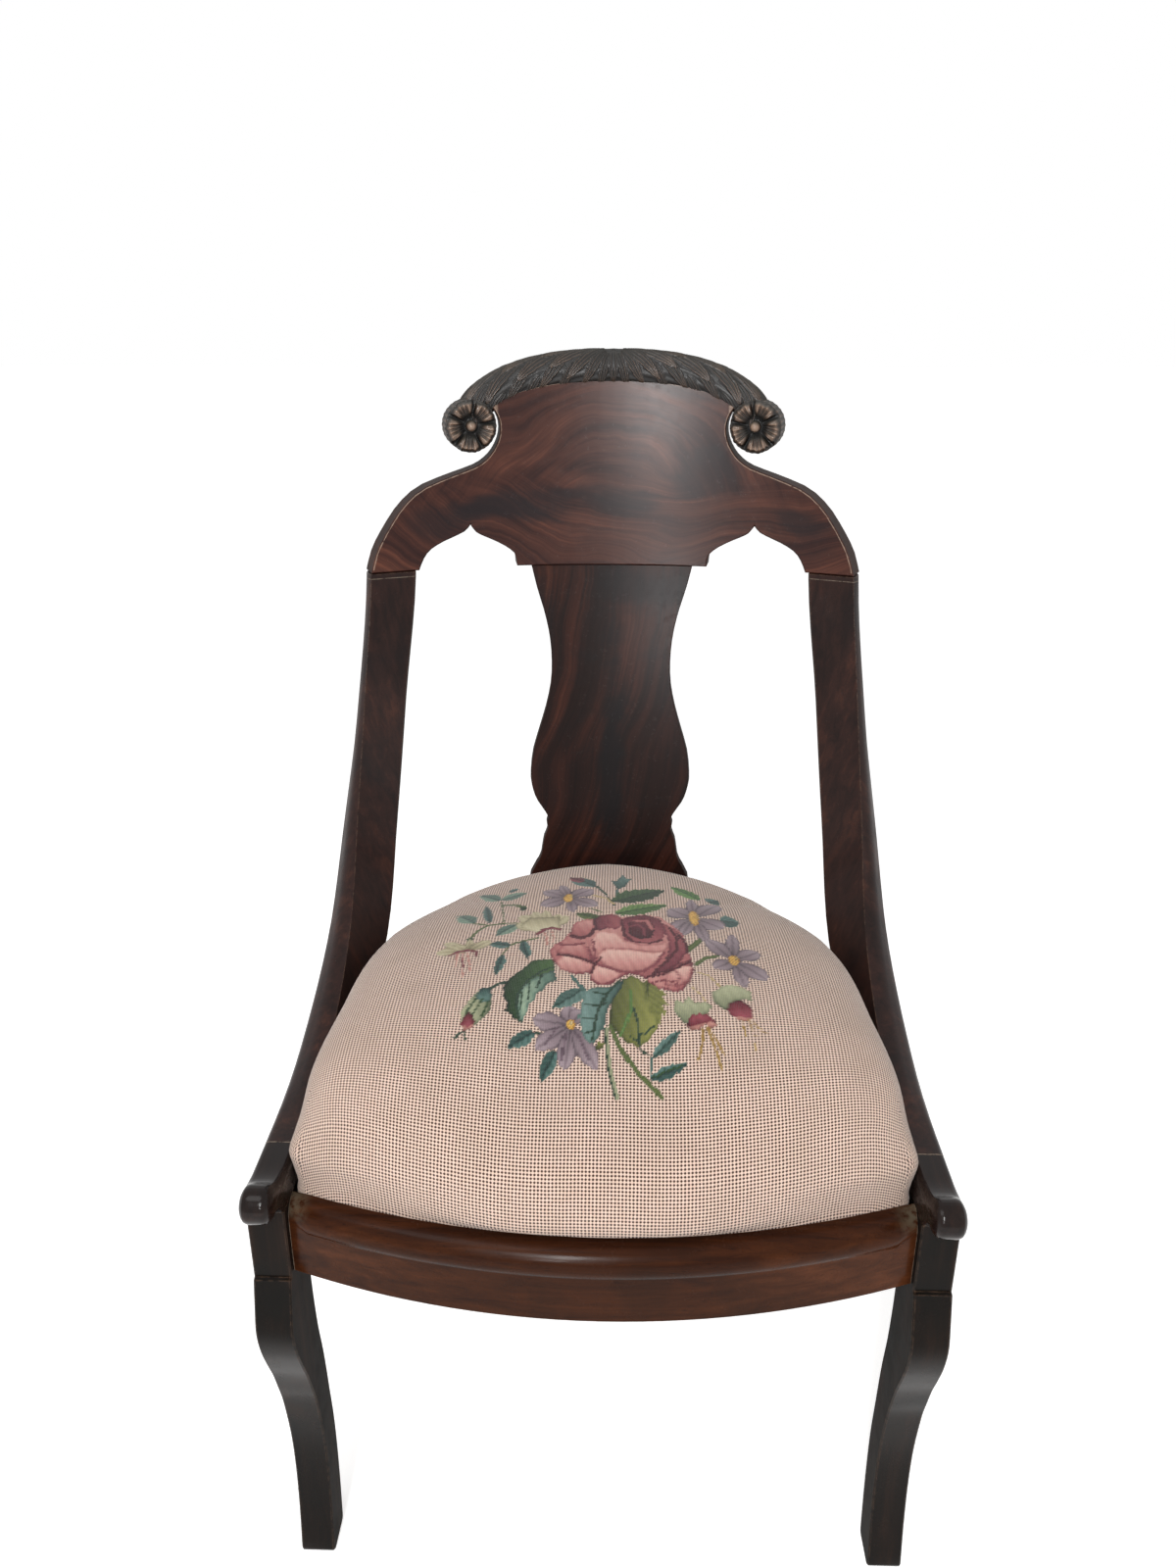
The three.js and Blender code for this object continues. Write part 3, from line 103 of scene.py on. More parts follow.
class Paint:  # a material while its nodes are laid
    def __init__(self, name, **shader):
        self.material = bpy.data.materials.new(name)
        self.material.use_nodes = True
        self.tree = self.material.node_tree
        self.tree.nodes.clear()
        self.shader = self.node("BsdfPrincipled", {}, shader)
        self.out = self.node("OutputMaterial", {}, {"Surface": self.shader.outputs["BSDF"]})

    def node(self, kind, settings=None, inputs=None):
        node = self.tree.nodes.new("ShaderNode" + kind)
        for key, value in (settings or {}).items():
            if key == "stops":
                ramp = node.color_ramp
                while len(ramp.elements) < len(value):
                    ramp.elements.new(0.5)
                for element, (place, colour) in zip(ramp.elements, value):
                    element.position = place
                    element.color = tone(colour)
            else:
                setattr(node, key, value)
        for key, value in (inputs or {}).items():
            self.feed(node.inputs[key], value)
        return node

    def feed(self, socket, value):
        if isinstance(value, Field):
            value = value.socket
        if isinstance(value, bpy.types.NodeSocket):
            self.tree.links.new(value, socket)
        else:
            socket.default_value = value

    def place(self, kind="Object"):  # x, y and z on the piece, in millimetres
        spot = self.node("TexCoord").outputs[kind]
        apart = self.node("SeparateXYZ", {}, {0: spot})
        return [Field(self, apart.outputs[k]) * 1000 for k in range(3)]

    def point(self, x, y, z):
        return self.node("CombineXYZ", {}, {0: x, 1: y, 2: z}).outputs[0]

    def noise(self, point, scale=1.0, detail=3.0, rough=0.5, warp=0.0):
        node = self.node("TexNoise", {}, {
            "Vector": point, "Scale": scale, "Detail": detail, "Roughness": rough, "Distortion": warp})
        return Field(self, node.outputs[0])

    def cells(self, point, scale=1.0, feature="F1", output="Distance"):
        node = self.node("TexVoronoi", {"feature": feature}, {"Vector": point, "Scale": scale})
        return Field(self, node.outputs[output])

    def ramp(self, share, stops):
        return self.node("ValToRGB", {"stops": stops}, {0: share}).outputs[0]

    def blend(self, share, first, second, way="MIX"):
        node = self.node("Mix", {"data_type": "RGBA", "blend_type": way})
        self.feed(node.inputs[0], share)
        self.feed(node.inputs[6], first)
        self.feed(node.inputs[7], second)
        return node.outputs[2]

    def finish(self, colour=None, rough=None, height=None, depth=0.1, strength=1.0):
        if colour is not None:
            self.feed(self.shader.inputs["Base Color"], colour)
        if rough is not None:
            self.feed(self.shader.inputs["Roughness"], rough)
        if height is not None:
            bump = self.node("Bump", {}, {"Strength": strength, "Distance": depth * mm, "Height": height})
            self.feed(self.shader.inputs["Normal"], bump.outputs[0])
        return self.material

    def wornEdge(self, width, reach):  # 1 on a worn arris, 0 away from it
        round_ = self.node("Bevel", {"samples": 4}, {"Radius": width * mm}).outputs[0]
        flat = self.node("NewGeometry").outputs["Normal"]
        dot = Field(self, self.node("VectorMath", {"operation": "DOT_PRODUCT"}, {0: round_, 1: flat}).outputs[1])
        return (1 - dot).step(*reach)


# Polished mahogany: near black, with red-brown streaks along the grain and worn arrises
def polishedMahogany(name, along, look):
    paint = Paint(name, **{"Specular IOR Level": look["specular"], "Coat Weight": look["coat"], "Coat Roughness": 0.12})
    x, y, z = paint.place()
    long_ = {"x": (0.05, 1, 1), "y": (1, 0.05, 1), "z": (1, 1, 0.05)}[along]
    fibre = paint.point(x * long_[0], y * long_[1], z * long_[2])
    streak = paint.noise(fibre, 0.16, 4, 0.6, 0.6)
    broad = paint.noise(fibre, 0.035, 2, 0.5, 0.4)
    pores = paint.noise(fibre, 1.3, 2, 0.6)
    smoke = paint.noise(paint.point(x, y, z), 0.018, 3, 0.55)
    figure = streak * 0.55 + broad * 0.6 - 0.12
    wood = paint.ramp(figure, [(0.3, look["dark"]), (0.5, look["middle"]), (0.72, look["red"])])
    wood = paint.blend(smoke.step(0.48, 0.68) * look["smoke"], wood, tone(look["smoky"]))
    wood = paint.blend(pores.step(0.6, 0.72) * 0.5, wood, tone("0c0706"))
    nick = paint.noise(paint.point(x, y, z), 0.22, 3, 0.7)
    edge = paint.wornEdge(look["edgeWidth"], (0.02, 0.14)) * nick.step(0.36, 0.6)
    wood = paint.blend(edge * look["wear"], wood, tone(look["worn"]))
    for axis, at, wide, much in look["seams"]:  # pale glue and chipped polish along a joint
        off = abs(abs((x, y, z)[axis]) - abs(at)) if axis == 0 else abs((x, y, z)[axis] - at)
        wood = paint.blend((1 - off.step(0, wide)) * nick.step(0.3, 0.55) * much, wood, tone("a29382"))
    dirt = abs(x).step(188, 205) * z.step(342, 354) * look["dirt"]  # dust lies in the corner beside the leg
    wood = paint.blend(dirt * nick.step(0.3, 0.6) * 0.8, wood, tone("6d6655"))
    dust = paint.noise(paint.point(x, y, z), 0.05, 4, 0.65)
    facing = abs(Field(paint, paint.node("SeparateXYZ", {}, {0: paint.node("NewGeometry").outputs["Normal"]}).outputs[0]))
    rough = look["rough"] + dust.step(0.4, 0.75) * 0.12 + edge * 0.12 + facing.step(0.6, 0.95) * look["dullSides"]
    return paint.finish(wood, rough, pores * 0.25 + streak * 0.2 + nick * 0.5, 0.12, 0.35)


darkLook = {
    "specular": 0.12, "coat": 0.04, "rough": 0.2, "dark": "1d1210", "middle": "2d1b17", "red": "472a20",
    "smoke": 0.6, "smoky": "191313", "edgeWidth": 1.6, "wear": 0.55, "worn": "6f5746", "seams": [],
    "dullSides": 0.35, "dirt": 0.0,
}
stileLook = dict(darkLook, specular=0.14, rough=0.17, dullSides=0.25, seams=[(1, -197.75, 0.6, 0.8), (2, 683.9, 0.5, 0.45)])
armLook = dict(darkLook, specular=0.15, dark="130d0c", middle="1f1512", red="352019", rough=0.13, dullSides=0.1, seams=[(1, -197.75, 0.6, 0.8)])
railLook = dict(darkLook, specular=0.06, coat=0.02, dark="2b150b", middle="402110", red="57301b", smoke=0.4,
                smoky="23130b", seams=[(0, 206.2, 0.6, 0.7)], dirt=0.6)
blackLook = dict(darkLook, specular=0.06, dark="0f0c0a", middle="18110d", red="281a13", smoke=0.8, smoky="0f0e0c",
                 wear=0.5, dullSides=0.65)


# Crotch veneer: flame figure that runs in arcs about two centres, under smoky patches; the edges
# of the board are dark plain wood, and the veneer's own edge shows as a pale line
def crotchVeneer(name, look):
    paint = Paint(name, **{"Specular IOR Level": look["specular"], "Coat Weight": look["coat"], "Coat Roughness": 0.25})
    x, y, z = paint.place()
    bendX = paint.noise(paint.point(x, 0, z), 0.009, 1, 0.4) - 0.5
    bendZ = paint.noise(paint.point(x + 300, 0, z), 0.011, 1, 0.4) - 0.5
    flow = paint.noise(paint.point(x, 7, z), 0.05, 2, 0.5) - 0.5
    wx = x + bendX * look["bend"] + flow * 5
    wz = z + bendZ * look["bend"] + flow * 5
    streaks = []
    for cx, cz, flat, seed in look["fans"]:
        dx = wx - cx
        dz = (wz - cz) * flat  # flat is below 0 for a centre above the veneer
        away = (dx * dx + dz * dz).root()
        round_ = dx.turn(dz)
        hair = paint.noise(paint.point(away * 0.55, round_ * 2.4 + seed, seed), 1.0, 3, 0.6, 0.2)
        fine = paint.noise(paint.point(away * 0.16, round_ * 1.3 + seed, seed + 3), 1.0, 3, 0.55, 0.3)
        wide = paint.noise(paint.point(away * 0.045, round_ * 1.0, seed + 7), 1.0, 1, 0.5, 0.3)
        streaks.append(hair * 0.2 + fine * 0.42 + wide * 0.52 - 0.07)
    share = (z + bendX * 70 + flow * 30).step(*look["turnAt"])
    figure = streaks[0] * share + streaks[1] * (1 - share)
    wood = paint.ramp(figure, look["stops"])
    haze = paint.noise(paint.point(wx, 0, wz * 1.6), 0.016, 4, 0.6, 0.6)
    patch = haze.step(0.5, 0.72) * look["haze"]
    for px, pz, rx, rz, much in look["patches"]:
        ax = (wx - px) / rx
        az = (wz - pz) / rz
        spread = (ax * ax + az * az).root() + (haze - 0.5) * 1.2 + (figure - 0.5) * 0.8
        patch = patch.most((1 - spread.step(0.3, 1.15)) * much)
    wood = paint.blend(patch, wood, tone(look["smoky"]))
    pores = paint.noise(paint.point(x, y, z), 1.1, 2, 0.6)
    wood = paint.blend(pores.step(0.62, 0.74) * 0.3, wood, tone("150b09"))
    nick = paint.noise(paint.point(x, y, z), 0.2, 3, 0.7)
    scratch = paint.noise(paint.point(x * 0.05 + z * 0.02, y, z * 0.9), 0.6, 2, 0.6)
    wood = paint.blend(scratch.step(0.72, 0.78) * nick.step(0.5, 0.6) * 0.3, wood, tone("8a7468"))
    facing = abs(Field(paint, paint.node("SeparateXYZ", {}, {0: paint.node("NewGeometry").outputs["Normal"]}).outputs[1]))
    side = 1 - facing.step(0.5, 0.9)
    wood = paint.blend(side * 0.75, wood, tone("21140f"))
    line = Field(paint, paint.node("Attribute", {"attribute_name": "line"}).outputs["Fac"])
    edge = (1 - line.step(0.15, 0.7)) * nick.step(0.3, 0.5)
    wood = paint.blend(edge * 0.7, wood, tone("a48d7c"))
    ripple = paint.noise(paint.point(x * 0.6, y, z), 0.05, 3, 0.5)
    rough = look["rough"] + nick.step(0.45, 0.8) * 0.08 + side * look["sideRough"]
    return paint.finish(wood, rough, ripple * 0.7 + pores * 0.1, 0.2, 0.25)


crestLook = {
    "specular": 0.13, "coat": 0.06, "rough": 0.22, "sideRough": 0.5, "bend": 56, "haze": 0.3, "smoky": "1f191b",
    "turnAt": (735, 775), "fans": [(-8, 700, 1.0, 3.0), (70, 880, -1.5, 11.0)],
    "patches": [(-98, 737, 66, 17, 0.9), (4, 744, 34, 15, 0.8), (78, 762, 42, 24, 0.75), (-150, 728, 30, 16, 0.6),
                (160, 730, 34, 16, 0.7), (-40, 752, 70, 9, 0.6)],
    "stops": [(0.26, "1d1010"), (0.42, "301b18"), (0.57, "482a22"), (0.73, "683e30")],
}
splatLook = {
    "specular": 0.1, "coat": 0.05, "rough": 0.23, "sideRough": 0.5, "bend": 34, "haze": 0.4, "smoky": "141112",
    "turnAt": (500, 560), "fans": [(-400, 680, 1.0, 21.0), (-340, 560, 1.0, 29.0)],
    "patches": [(2, 520, 17, 130, 0.92), (2, 392, 42, 28, 0.9), (40, 672, 66, 22, 0.8), (-62, 640, 22, 60, 0.8),
                (62, 560, 22, 60, 0.5)],
    "stops": [(0.28, "120a08"), (0.45, "20110e"), (0.6, "361c15"), (0.78, "563124")],
}


# Carved wood: a ramp by height paints shade into the hollows and highlights onto the high places, which hands and
# cloths have also worn brown
def carvedMahogany():
    paint = Paint("carved mahogany", **{"Specular IOR Level": 0.42, "Coat Weight": 0.08, "Coat Roughness": 0.2})
    x, y, z = paint.place()
    high = Field(paint, paint.node("Attribute", {"attribute_name": "height"}).outputs["Fac"])
    blotch = paint.noise(paint.point(x, y, z), 0.06, 3, 0.6)
    grain = paint.noise(paint.point(x * 0.2, y, z), 0.9, 3, 0.6)
    # painted shade in the hollows and painted highlight on the high places, set by the carving's height
    wood = paint.ramp(high * 0.9 + blotch * 0.3 - 0.1, [
        (0.16, "040303"), (0.42, "120e0b"), (0.58, "2c221b"), (0.73, "524136"), (0.88, "88705f")])
    normal = paint.node("SeparateXYZ", {}, {0: paint.node("NewGeometry").outputs["Normal"]})
    # up-facing surfaces turn grey: a painted sheen of the light from above, with dust
    upSheenAndDust = Field(paint, normal.outputs[2]).step(0.3, 0.9) * 0.6
    side = 1 - abs(Field(paint, normal.outputs[1])).step(0.1, 0.5)
    wood = paint.blend(upSheenAndDust, wood, paint.ramp(high, [(0.2, "1c1b18"), (0.6, "34322c"), (0.95, "55524a")]))
    # painted shade on faces turned away from the front: the rosette drum walls and the roll's top and underside
    wood = paint.blend(side * 0.3, wood, tone("0c0a08"))
    fine = paint.noise(paint.point(x * 0.5, y * 0.5, z * 2.2), 0.7, 2, 0.6)
    rough = 0.2 + (1 - high) * 0.4 + side * 0.6
    return paint.finish(wood, rough, grain * 0.4 + fine * 0.6 + high * 0.3, 0.4, 0.6)


def innerWood():
    paint = Paint("bare inner wood", **{"Specular IOR Level": 0.25})
    x, y, z = paint.place()
    fibre = paint.point(x * 0.08, y, z)
    rings = paint.noise(fibre, 0.14, 4, 0.6, 0.8)
    saw = paint.noise(paint.point(x, y * 0.05, z * 0.05), 0.5, 2, 0.5)
    wood = paint.ramp(rings, [(0.3, "6d5436"), (0.5, "8a6c48"), (0.7, "a5865c")])
    wood = paint.blend(saw.step(0.5, 0.7) * 0.25, wood, tone("6a5032"))
    return paint.finish(wood, 0.72 + saw * 0.1, rings * 0.4 + saw * 0.6, 0.3, 0.5)


def juteWebbing():
    paint = Paint("jute webbing", **{"Specular IOR Level": 0.2, "Sheen Weight": 0.15})
    x, y, z = paint.place()
    over = (x * (math.pi / 1.6)).sin()
    across = (y * (math.pi / 1.6)).sin()
    weave = over * across
    fuzz = paint.noise(paint.point(x, y, z), 0.9, 3, 0.7)
    cloth = paint.ramp(weave * 0.35 + fuzz * 0.5 + 0.2, [(0.2, "6b5633"), (0.5, "9a8355"), (0.8, "b9a274")])
    return paint.finish(cloth, 0.9, weave * 0.6 + fuzz * 0.4, 0.4, 0.7)


# Wool needlepoint: a pale ground in coarse stitches, the flowers in stitches half that size
# the hole colour is painted shade in the holes between the stitches
needlework = {"pitch": 2.3, "ground": "dabfae", "groundFar": "cfb7a5", "hole": "46291f", "holeMuch": 1.0}


def needlepoint():
    look = needlework
    paint = Paint("needlepoint", **{"Specular IOR Level": 0.15, "Sheen Weight": 0.25, "Sheen Roughness": 0.5})
    canvas = paint.node("UVMap", {"uv_map": "canvas"}).outputs[0]
    apart = paint.node("SeparateXYZ", {}, {0: canvas})
    u = Field(paint, apart.outputs[0])
    v = Field(paint, apart.outputs[1])
    motif = paint.node("Attribute", {"attribute_name": "motif"})
    worked = Field(paint, motif.outputs["Alpha"])

    def stitches(scale, seed):  # 1 in the middle of a stitch, 0 in the hole at its corners
        wander = paint.noise(paint.point(u * 0.25, v * 0.25, seed), 1.0, 2, 0.5) - 0.5
        su = u * scale + wander * 0.25
        sv = v * scale + wander * 0.2
        fu = abs(su.fract() - 0.5) * 2
        fv = abs(sv.fract() - 0.5) * 2
        hole = (fu * fu * fv * fv)
        gap = (fu ** 6).most(fv ** 6)
        each = paint.node("TexWhiteNoise", {"noise_dimensions": "2D"}, {
            0: paint.point(su.floor(), sv.floor(), 0)})
        return hole, gap, Field(paint, each.outputs[0])

    hole, gap, each = stitches(1, 1.0)
    fineHole, fineGap, fineEach = stitches(2, 2.0)
    ground = paint.blend(each * 0.5, tone(look["ground"]), tone("e6cfc0"))
    cloud = paint.noise(paint.point(u * 0.05, v * 0.05, 5), 1.0, 3, 0.6)
    ground = paint.blend(cloud.step(0.4, 0.7) * 0.5, ground, tone(look["groundFar"]))
    # painted shade: the gaps between stitches and the holes at their corners are darkened
    ground = paint.blend(gap * 0.4, ground, tone("8d6c5c"))
    ground = paint.blend(hole.step(0.01, 0.17) * look["holeMuch"], ground, tone(look["hole"]))
    flower = paint.blend(fineEach * 0.3, motif.outputs["Color"], paint.blend(
        1.0, motif.outputs["Color"], tone("d8d8d8"), "MULTIPLY"))
    # painted shade in the holes and gaps between the flower's finer stitches
    flower = paint.blend((fineHole.step(0.1, 0.5) * 0.6).most(fineGap * 0.25), flower, tone("2a1f1c"))
    wool = paint.blend(worked.step(0.35, 0.6), ground, flower)
    height = (1 - hole.step(0.05, 0.6)) * (1 - worked) + (1 - fineHole.step(0.05, 0.6)) * worked * 0.6 + each * 0.15
    return paint.finish(wool, 0.88, height, 0.7, 0.8)


def ready(points, faces, name, smooth=True):  # a mesh piece from points in millimetres of the part's frame
    mesh = bpy.data.meshes.new(name)
    mesh.from_pydata([], [], [])
    points = np.asarray(points, np.float32) * mm
    mesh.vertices.add(len(points))
    mesh.vertices.foreach_set("co", points.ravel())
    faces = np.asarray(faces, np.int32)
    mesh.loops.add(faces.size)
    mesh.loops.foreach_set("vertex_index", faces.ravel())
    mesh.polygons.add(len(faces))
    mesh.polygons.foreach_set("loop_start", np.arange(0, faces.size, faces.shape[1], dtype=np.int32))
    mesh.polygons.foreach_set("use_smooth", np.full(len(faces), smooth))
    mesh.update(calc_edges=True)
    mesh.validate()
    piece = bpy.data.objects.new(name, mesh)
    bpy.context.scene.collection.objects.link(piece)
    return piece


def gridFaces(rows, columns, roundWays=False, start=0, flip=False):
    i, j = np.meshgrid(np.arange(rows - 1), np.arange(columns if roundWays else columns - 1), indexing="ij")
    k = (j + 1) % columns
    quads = np.stack([i * columns + j, i * columns + k, (i + 1) * columns + k, (i + 1) * columns + j], -1)
    quads = quads.reshape(-1, 4) + start
    return quads[:, ::-1] if flip else quads


# The cushion
cushion = {
    "frontHalf": 204.7, "taper": 42, "taperStart": 40, "taperRun": 310, "taperPower": 1.25,
    "frontAt": -16.4, "bow": 38, "bowHalf": 206.5, "rear": 367.4, "corner": 11, "rearCorner": 28,
    "centre": (0, 165), "top": 463, "widest": 369, "pinch": 1.2, "pinchAt": 362, "rim": 355.3, "low": 341,
    "fullness": [1.98, 2.05, 2.9, 4.2, 4.32, 3.1, 2.3, 2.8, 3.6], "oval": (174, 202),
    "swell": [9, 7.2, 0, 1.8, 3.15, 3.15, 3, 2.4, 2],  # from the front round to the back
    "fine": 1.2, "coarse": 4.0, "fineHalf": (132, 172), "puff": 4.0,
    "cornerBulge": 4, "bulgeAt": (0.27, 0.075, 386, 12),
}


def seatRim():  # plan outline of the drop-in seat, anticlockwise from the middle of its front
    c = cushion
    side = lambda y: c["frontHalf"] - c["taper"] * np.maximum(0, (y - c["taperStart"]) / c["taperRun"]) ** c["taperPower"]
    front = lambda x: c["frontAt"] + c["bow"] * (x / c["bowHalf"]) ** 2
    def rounded(a, b, d):
        t = np.linspace(0, 1, 14)[:, None]
        a, b, d = map(np.array, (a, b, d))
        return (1 - t) ** 2 * a + 2 * t * (1 - t) * b + t ** 2 * d
    cornerX = side(0) - c["corner"]
    cornerY = front(cornerX) + c["corner"]
    sideEnd = c["rear"] - c["rearCorner"]
    xs = np.linspace(0, cornerX, 60)[:-1]
    ys = np.linspace(cornerY, sideEnd, 90)[1:-1]
    half = np.vstack([
        np.stack([xs, front(xs)], 1),
        rounded((cornerX, front(cornerX)), (c["frontHalf"], front(c["frontHalf"])), (c["frontHalf"], cornerY)),
        np.stack([side(ys), ys], 1),
        rounded((side(sideEnd), sideEnd), (side(c["rear"]), c["rear"]), (side(c["rear"]) - c["rearCorner"], c["rear"])),
        np.stack([np.linspace(side(c["rear"]) - c["rearCorner"], 0, 40)[1:], np.full(39, c["rear"])], 1),
    ])
    return np.vstack([half, half[-2:0:-1] * [-1, 1]])


def cushionSurface(a, b):  # shares of the way out across and along, -1 to 1, to points of the cover
    c = cushion
    rim = seatRim() - c["centre"]
    angles = np.unwrap(np.arctan2(rim[:, 1], rim[:, 0]))
    reach = np.hypot(rim[:, 0], rim[:, 1])
    spread = np.array([205.0, 200.0])
    way = np.arctan2(b * spread[1], a * spread[0])
    square = np.maximum(np.abs(a), np.abs(b))
    turns = np.linspace(-math.pi, math.pi, 721)
    order = np.argsort(np.mod(angles, 2 * math.pi))
    rimAt = lambda w: np.interp(np.mod(w, 2 * math.pi), np.mod(angles, 2 * math.pi)[order], reach[order], period=2 * math.pi)
    r = rimAt(turns)
    facing = np.arctan2(np.abs(np.cos(turns)), -np.sin(turns)) / math.pi
    swell = throughPoints(c["swell"], facing)
    full = throughPoints(c["fullness"], facing)
    rise = c["top"] - c["widest"]
    # one meridian for each direction, from the top down to the skirt
    angle = np.linspace(math.pi / 2, 0, 90)[None, :]
    power = 2 / full[:, None]
    oval = 1 / np.hypot(np.cos(turns) * (r + swell) / c["oval"][0], np.sin(turns) * (r + swell) / c["oval"][1])
    rounded = 1 + (oval[:, None] - 1) * (angle / (math.pi / 2)) ** 2
    out = np.cos(angle) ** power * rounded * (r + swell)[:, None]
    up = c["widest"] + rise * np.sin(angle) ** power
    below = np.stack([r + swell - c["pinch"] * 0.5, r + swell - c["pinch"], r + swell * 0.35 - c["pinch"], r, r], 1)
    heights = np.array([(c["widest"] + c["pinchAt"]) / 2, c["pinchAt"], c["rim"] + 2.5, c["rim"], c["low"]])
    out = np.hstack([out, below])
    up = np.hstack([up, np.repeat(heights[None, :], len(turns), 0)])
    towards, wide, high, tall = c["bulgeAt"]
    bulge = np.exp(-((facing[:, None] - towards) / wide) ** 2 - ((up - high) / tall) ** 2)
    out = out + c["cornerBulge"] * bulge * ease(364, 384, up)
    spread = np.arange(-40, 41)  # the stuffing rounds the crown off between its corners
    weight = np.exp(-(spread / 16.0) ** 2)
    even = sum(w * np.roll(out[:-1], k, 0) for w, k in zip(weight / weight.sum(), spread))
    high = ease(384, 410, up[:-1])
    out[:-1] += (even - out[:-1]) * high
    spread = np.arange(-120, 121)  # most of all over the rear corners
    weight = np.exp(-(spread / 60.0) ** 2)
    even = sum(w * np.roll(out[:-1], k, 0) for w, k in zip(weight / weight.sum(), spread))
    even = np.minimum(even, out[:-1] + 3 + 5 * ease(400, 430, up[:-1]))
    out[:-1] += (even - out[:-1]) * high * ease(0.42, 0.64, facing[:-1, None])
    out[-1] = out[0]
    length = np.cumsum(np.hstack([np.zeros((len(turns), 1)), np.hypot(np.diff(out, axis=1), np.diff(up, axis=1))]), 1)
    # the same number of steps by length along every meridian
    steps = np.linspace(0, 1, 400)
    outAt = np.array([np.interp(steps * l[-1], l, o) for l, o in zip(length, out)])
    upAt = np.array([np.interp(steps * l[-1], l, o) for l, o in zip(length, up)])
    i = (way + math.pi) / (2 * math.pi) * 720
    j = square * 399
    i0 = np.clip(i.astype(int), 0, 719)
    j0 = np.clip(j.astype(int), 0, 398)
    fi, fj = i - i0, j - j0
    def look(table):
        return ((1 - fi) * ((1 - fj) * table[i0, j0] + fj * table[i0, j0 + 1])
                + fi * ((1 - fj) * table[i0 + 1, j0] + fj * table[i0 + 1, j0 + 1]))
    radius = look(outAt)
    return np.stack([c["centre"][0] + radius * np.cos(way), c["centre"][1] + radius * np.sin(way), look(upAt)], -1)


def lineShares(total, fineHalf):  # grid lines, close together in the middle
    c = cushion
    fine = np.arange(0, fineHalf, c["fine"])
    count = max(2, round((total - fineHalf) / c["coarse"]))
    half = np.concatenate([fine, np.linspace(fineHalf, total, count + 1)]) / total
    return np.concatenate([-half[:0:-1], half])


def puffed(coarseLines):  # how far the stuffing pushes the cover out, by cloth simulation
    count = len(coarseLines)
    a, b = np.meshgrid(coarseLines, coarseLines, indexing="xy")
    rest = cushionSurface(a.ravel(), b.ravel())
    rest[:, 1] -= seatMiddle
    index = np.arange(count * count).reshape(count, count)
    piece = ready(rest, gridFaces(count, count), "stuffing form")
    edge = np.unique(np.concatenate([index[[0, 1, 2, -3, -2, -1]].ravel(), index[:, [0, 1, 2, -3, -2, -1]].ravel()]))
    pins = piece.vertex_groups.new(name="pins")
    pins.add([int(k) for k in edge], 1.0, "REPLACE")
    cloth = piece.modifiers.new("stuffing", "CLOTH")
    cloth.settings.quality = 6
    cloth.settings.mass = 0.3
    cloth.settings.tension_stiffness = 40
    cloth.settings.compression_stiffness = 40
    cloth.settings.bending_stiffness = 4
    cloth.settings.vertex_group_mass = "pins"
    cloth.settings.use_pressure = True
    cloth.settings.uniform_pressure_force = 4
    cloth.settings.effector_weights.gravity = 0
    cloth.point_cache.frame_start = 1
    cloth.point_cache.frame_end = 20
    for number in range(1, 21):
        bpy.context.scene.frame_set(number)
    shaped = piece.evaluated_get(bpy.context.evaluated_depsgraph_get()).to_mesh()
    moved = np.zeros(count * count * 3, np.float32)
    shaped.vertices.foreach_get("co", moved)
    shift = moved.reshape(-1, 3) / mm - rest
    far = np.linalg.norm(shift, axis=1, keepdims=True)
    shift *= np.minimum(1, cushion["puff"] / np.maximum(far, 1e-6))
    bpy.context.scene.frame_set(1)
    bpy.data.objects.remove(piece, do_unlink=True)
    print("cushion simulated, most", round(float(far.max()), 1), "mm")
    return shift.reshape(count, count, 3)


def between(lines, table, a, b):  # values of a coarse grid at finer places
    place = lambda s: np.clip(np.interp(s, lines, np.arange(len(lines))), 0, len(lines) - 1.001)
    ja, ib = place(a), place(b)
    j, i = ja.astype(int), ib.astype(int)
    fj, fi = (ja - j)[..., None], (ib - i)[..., None]
    return ((1 - fi) * ((1 - fj) * table[i, j] + fj * table[i, j + 1])
            + fi * ((1 - fj) * table[i + 1, j] + fj * table[i + 1, j + 1]))


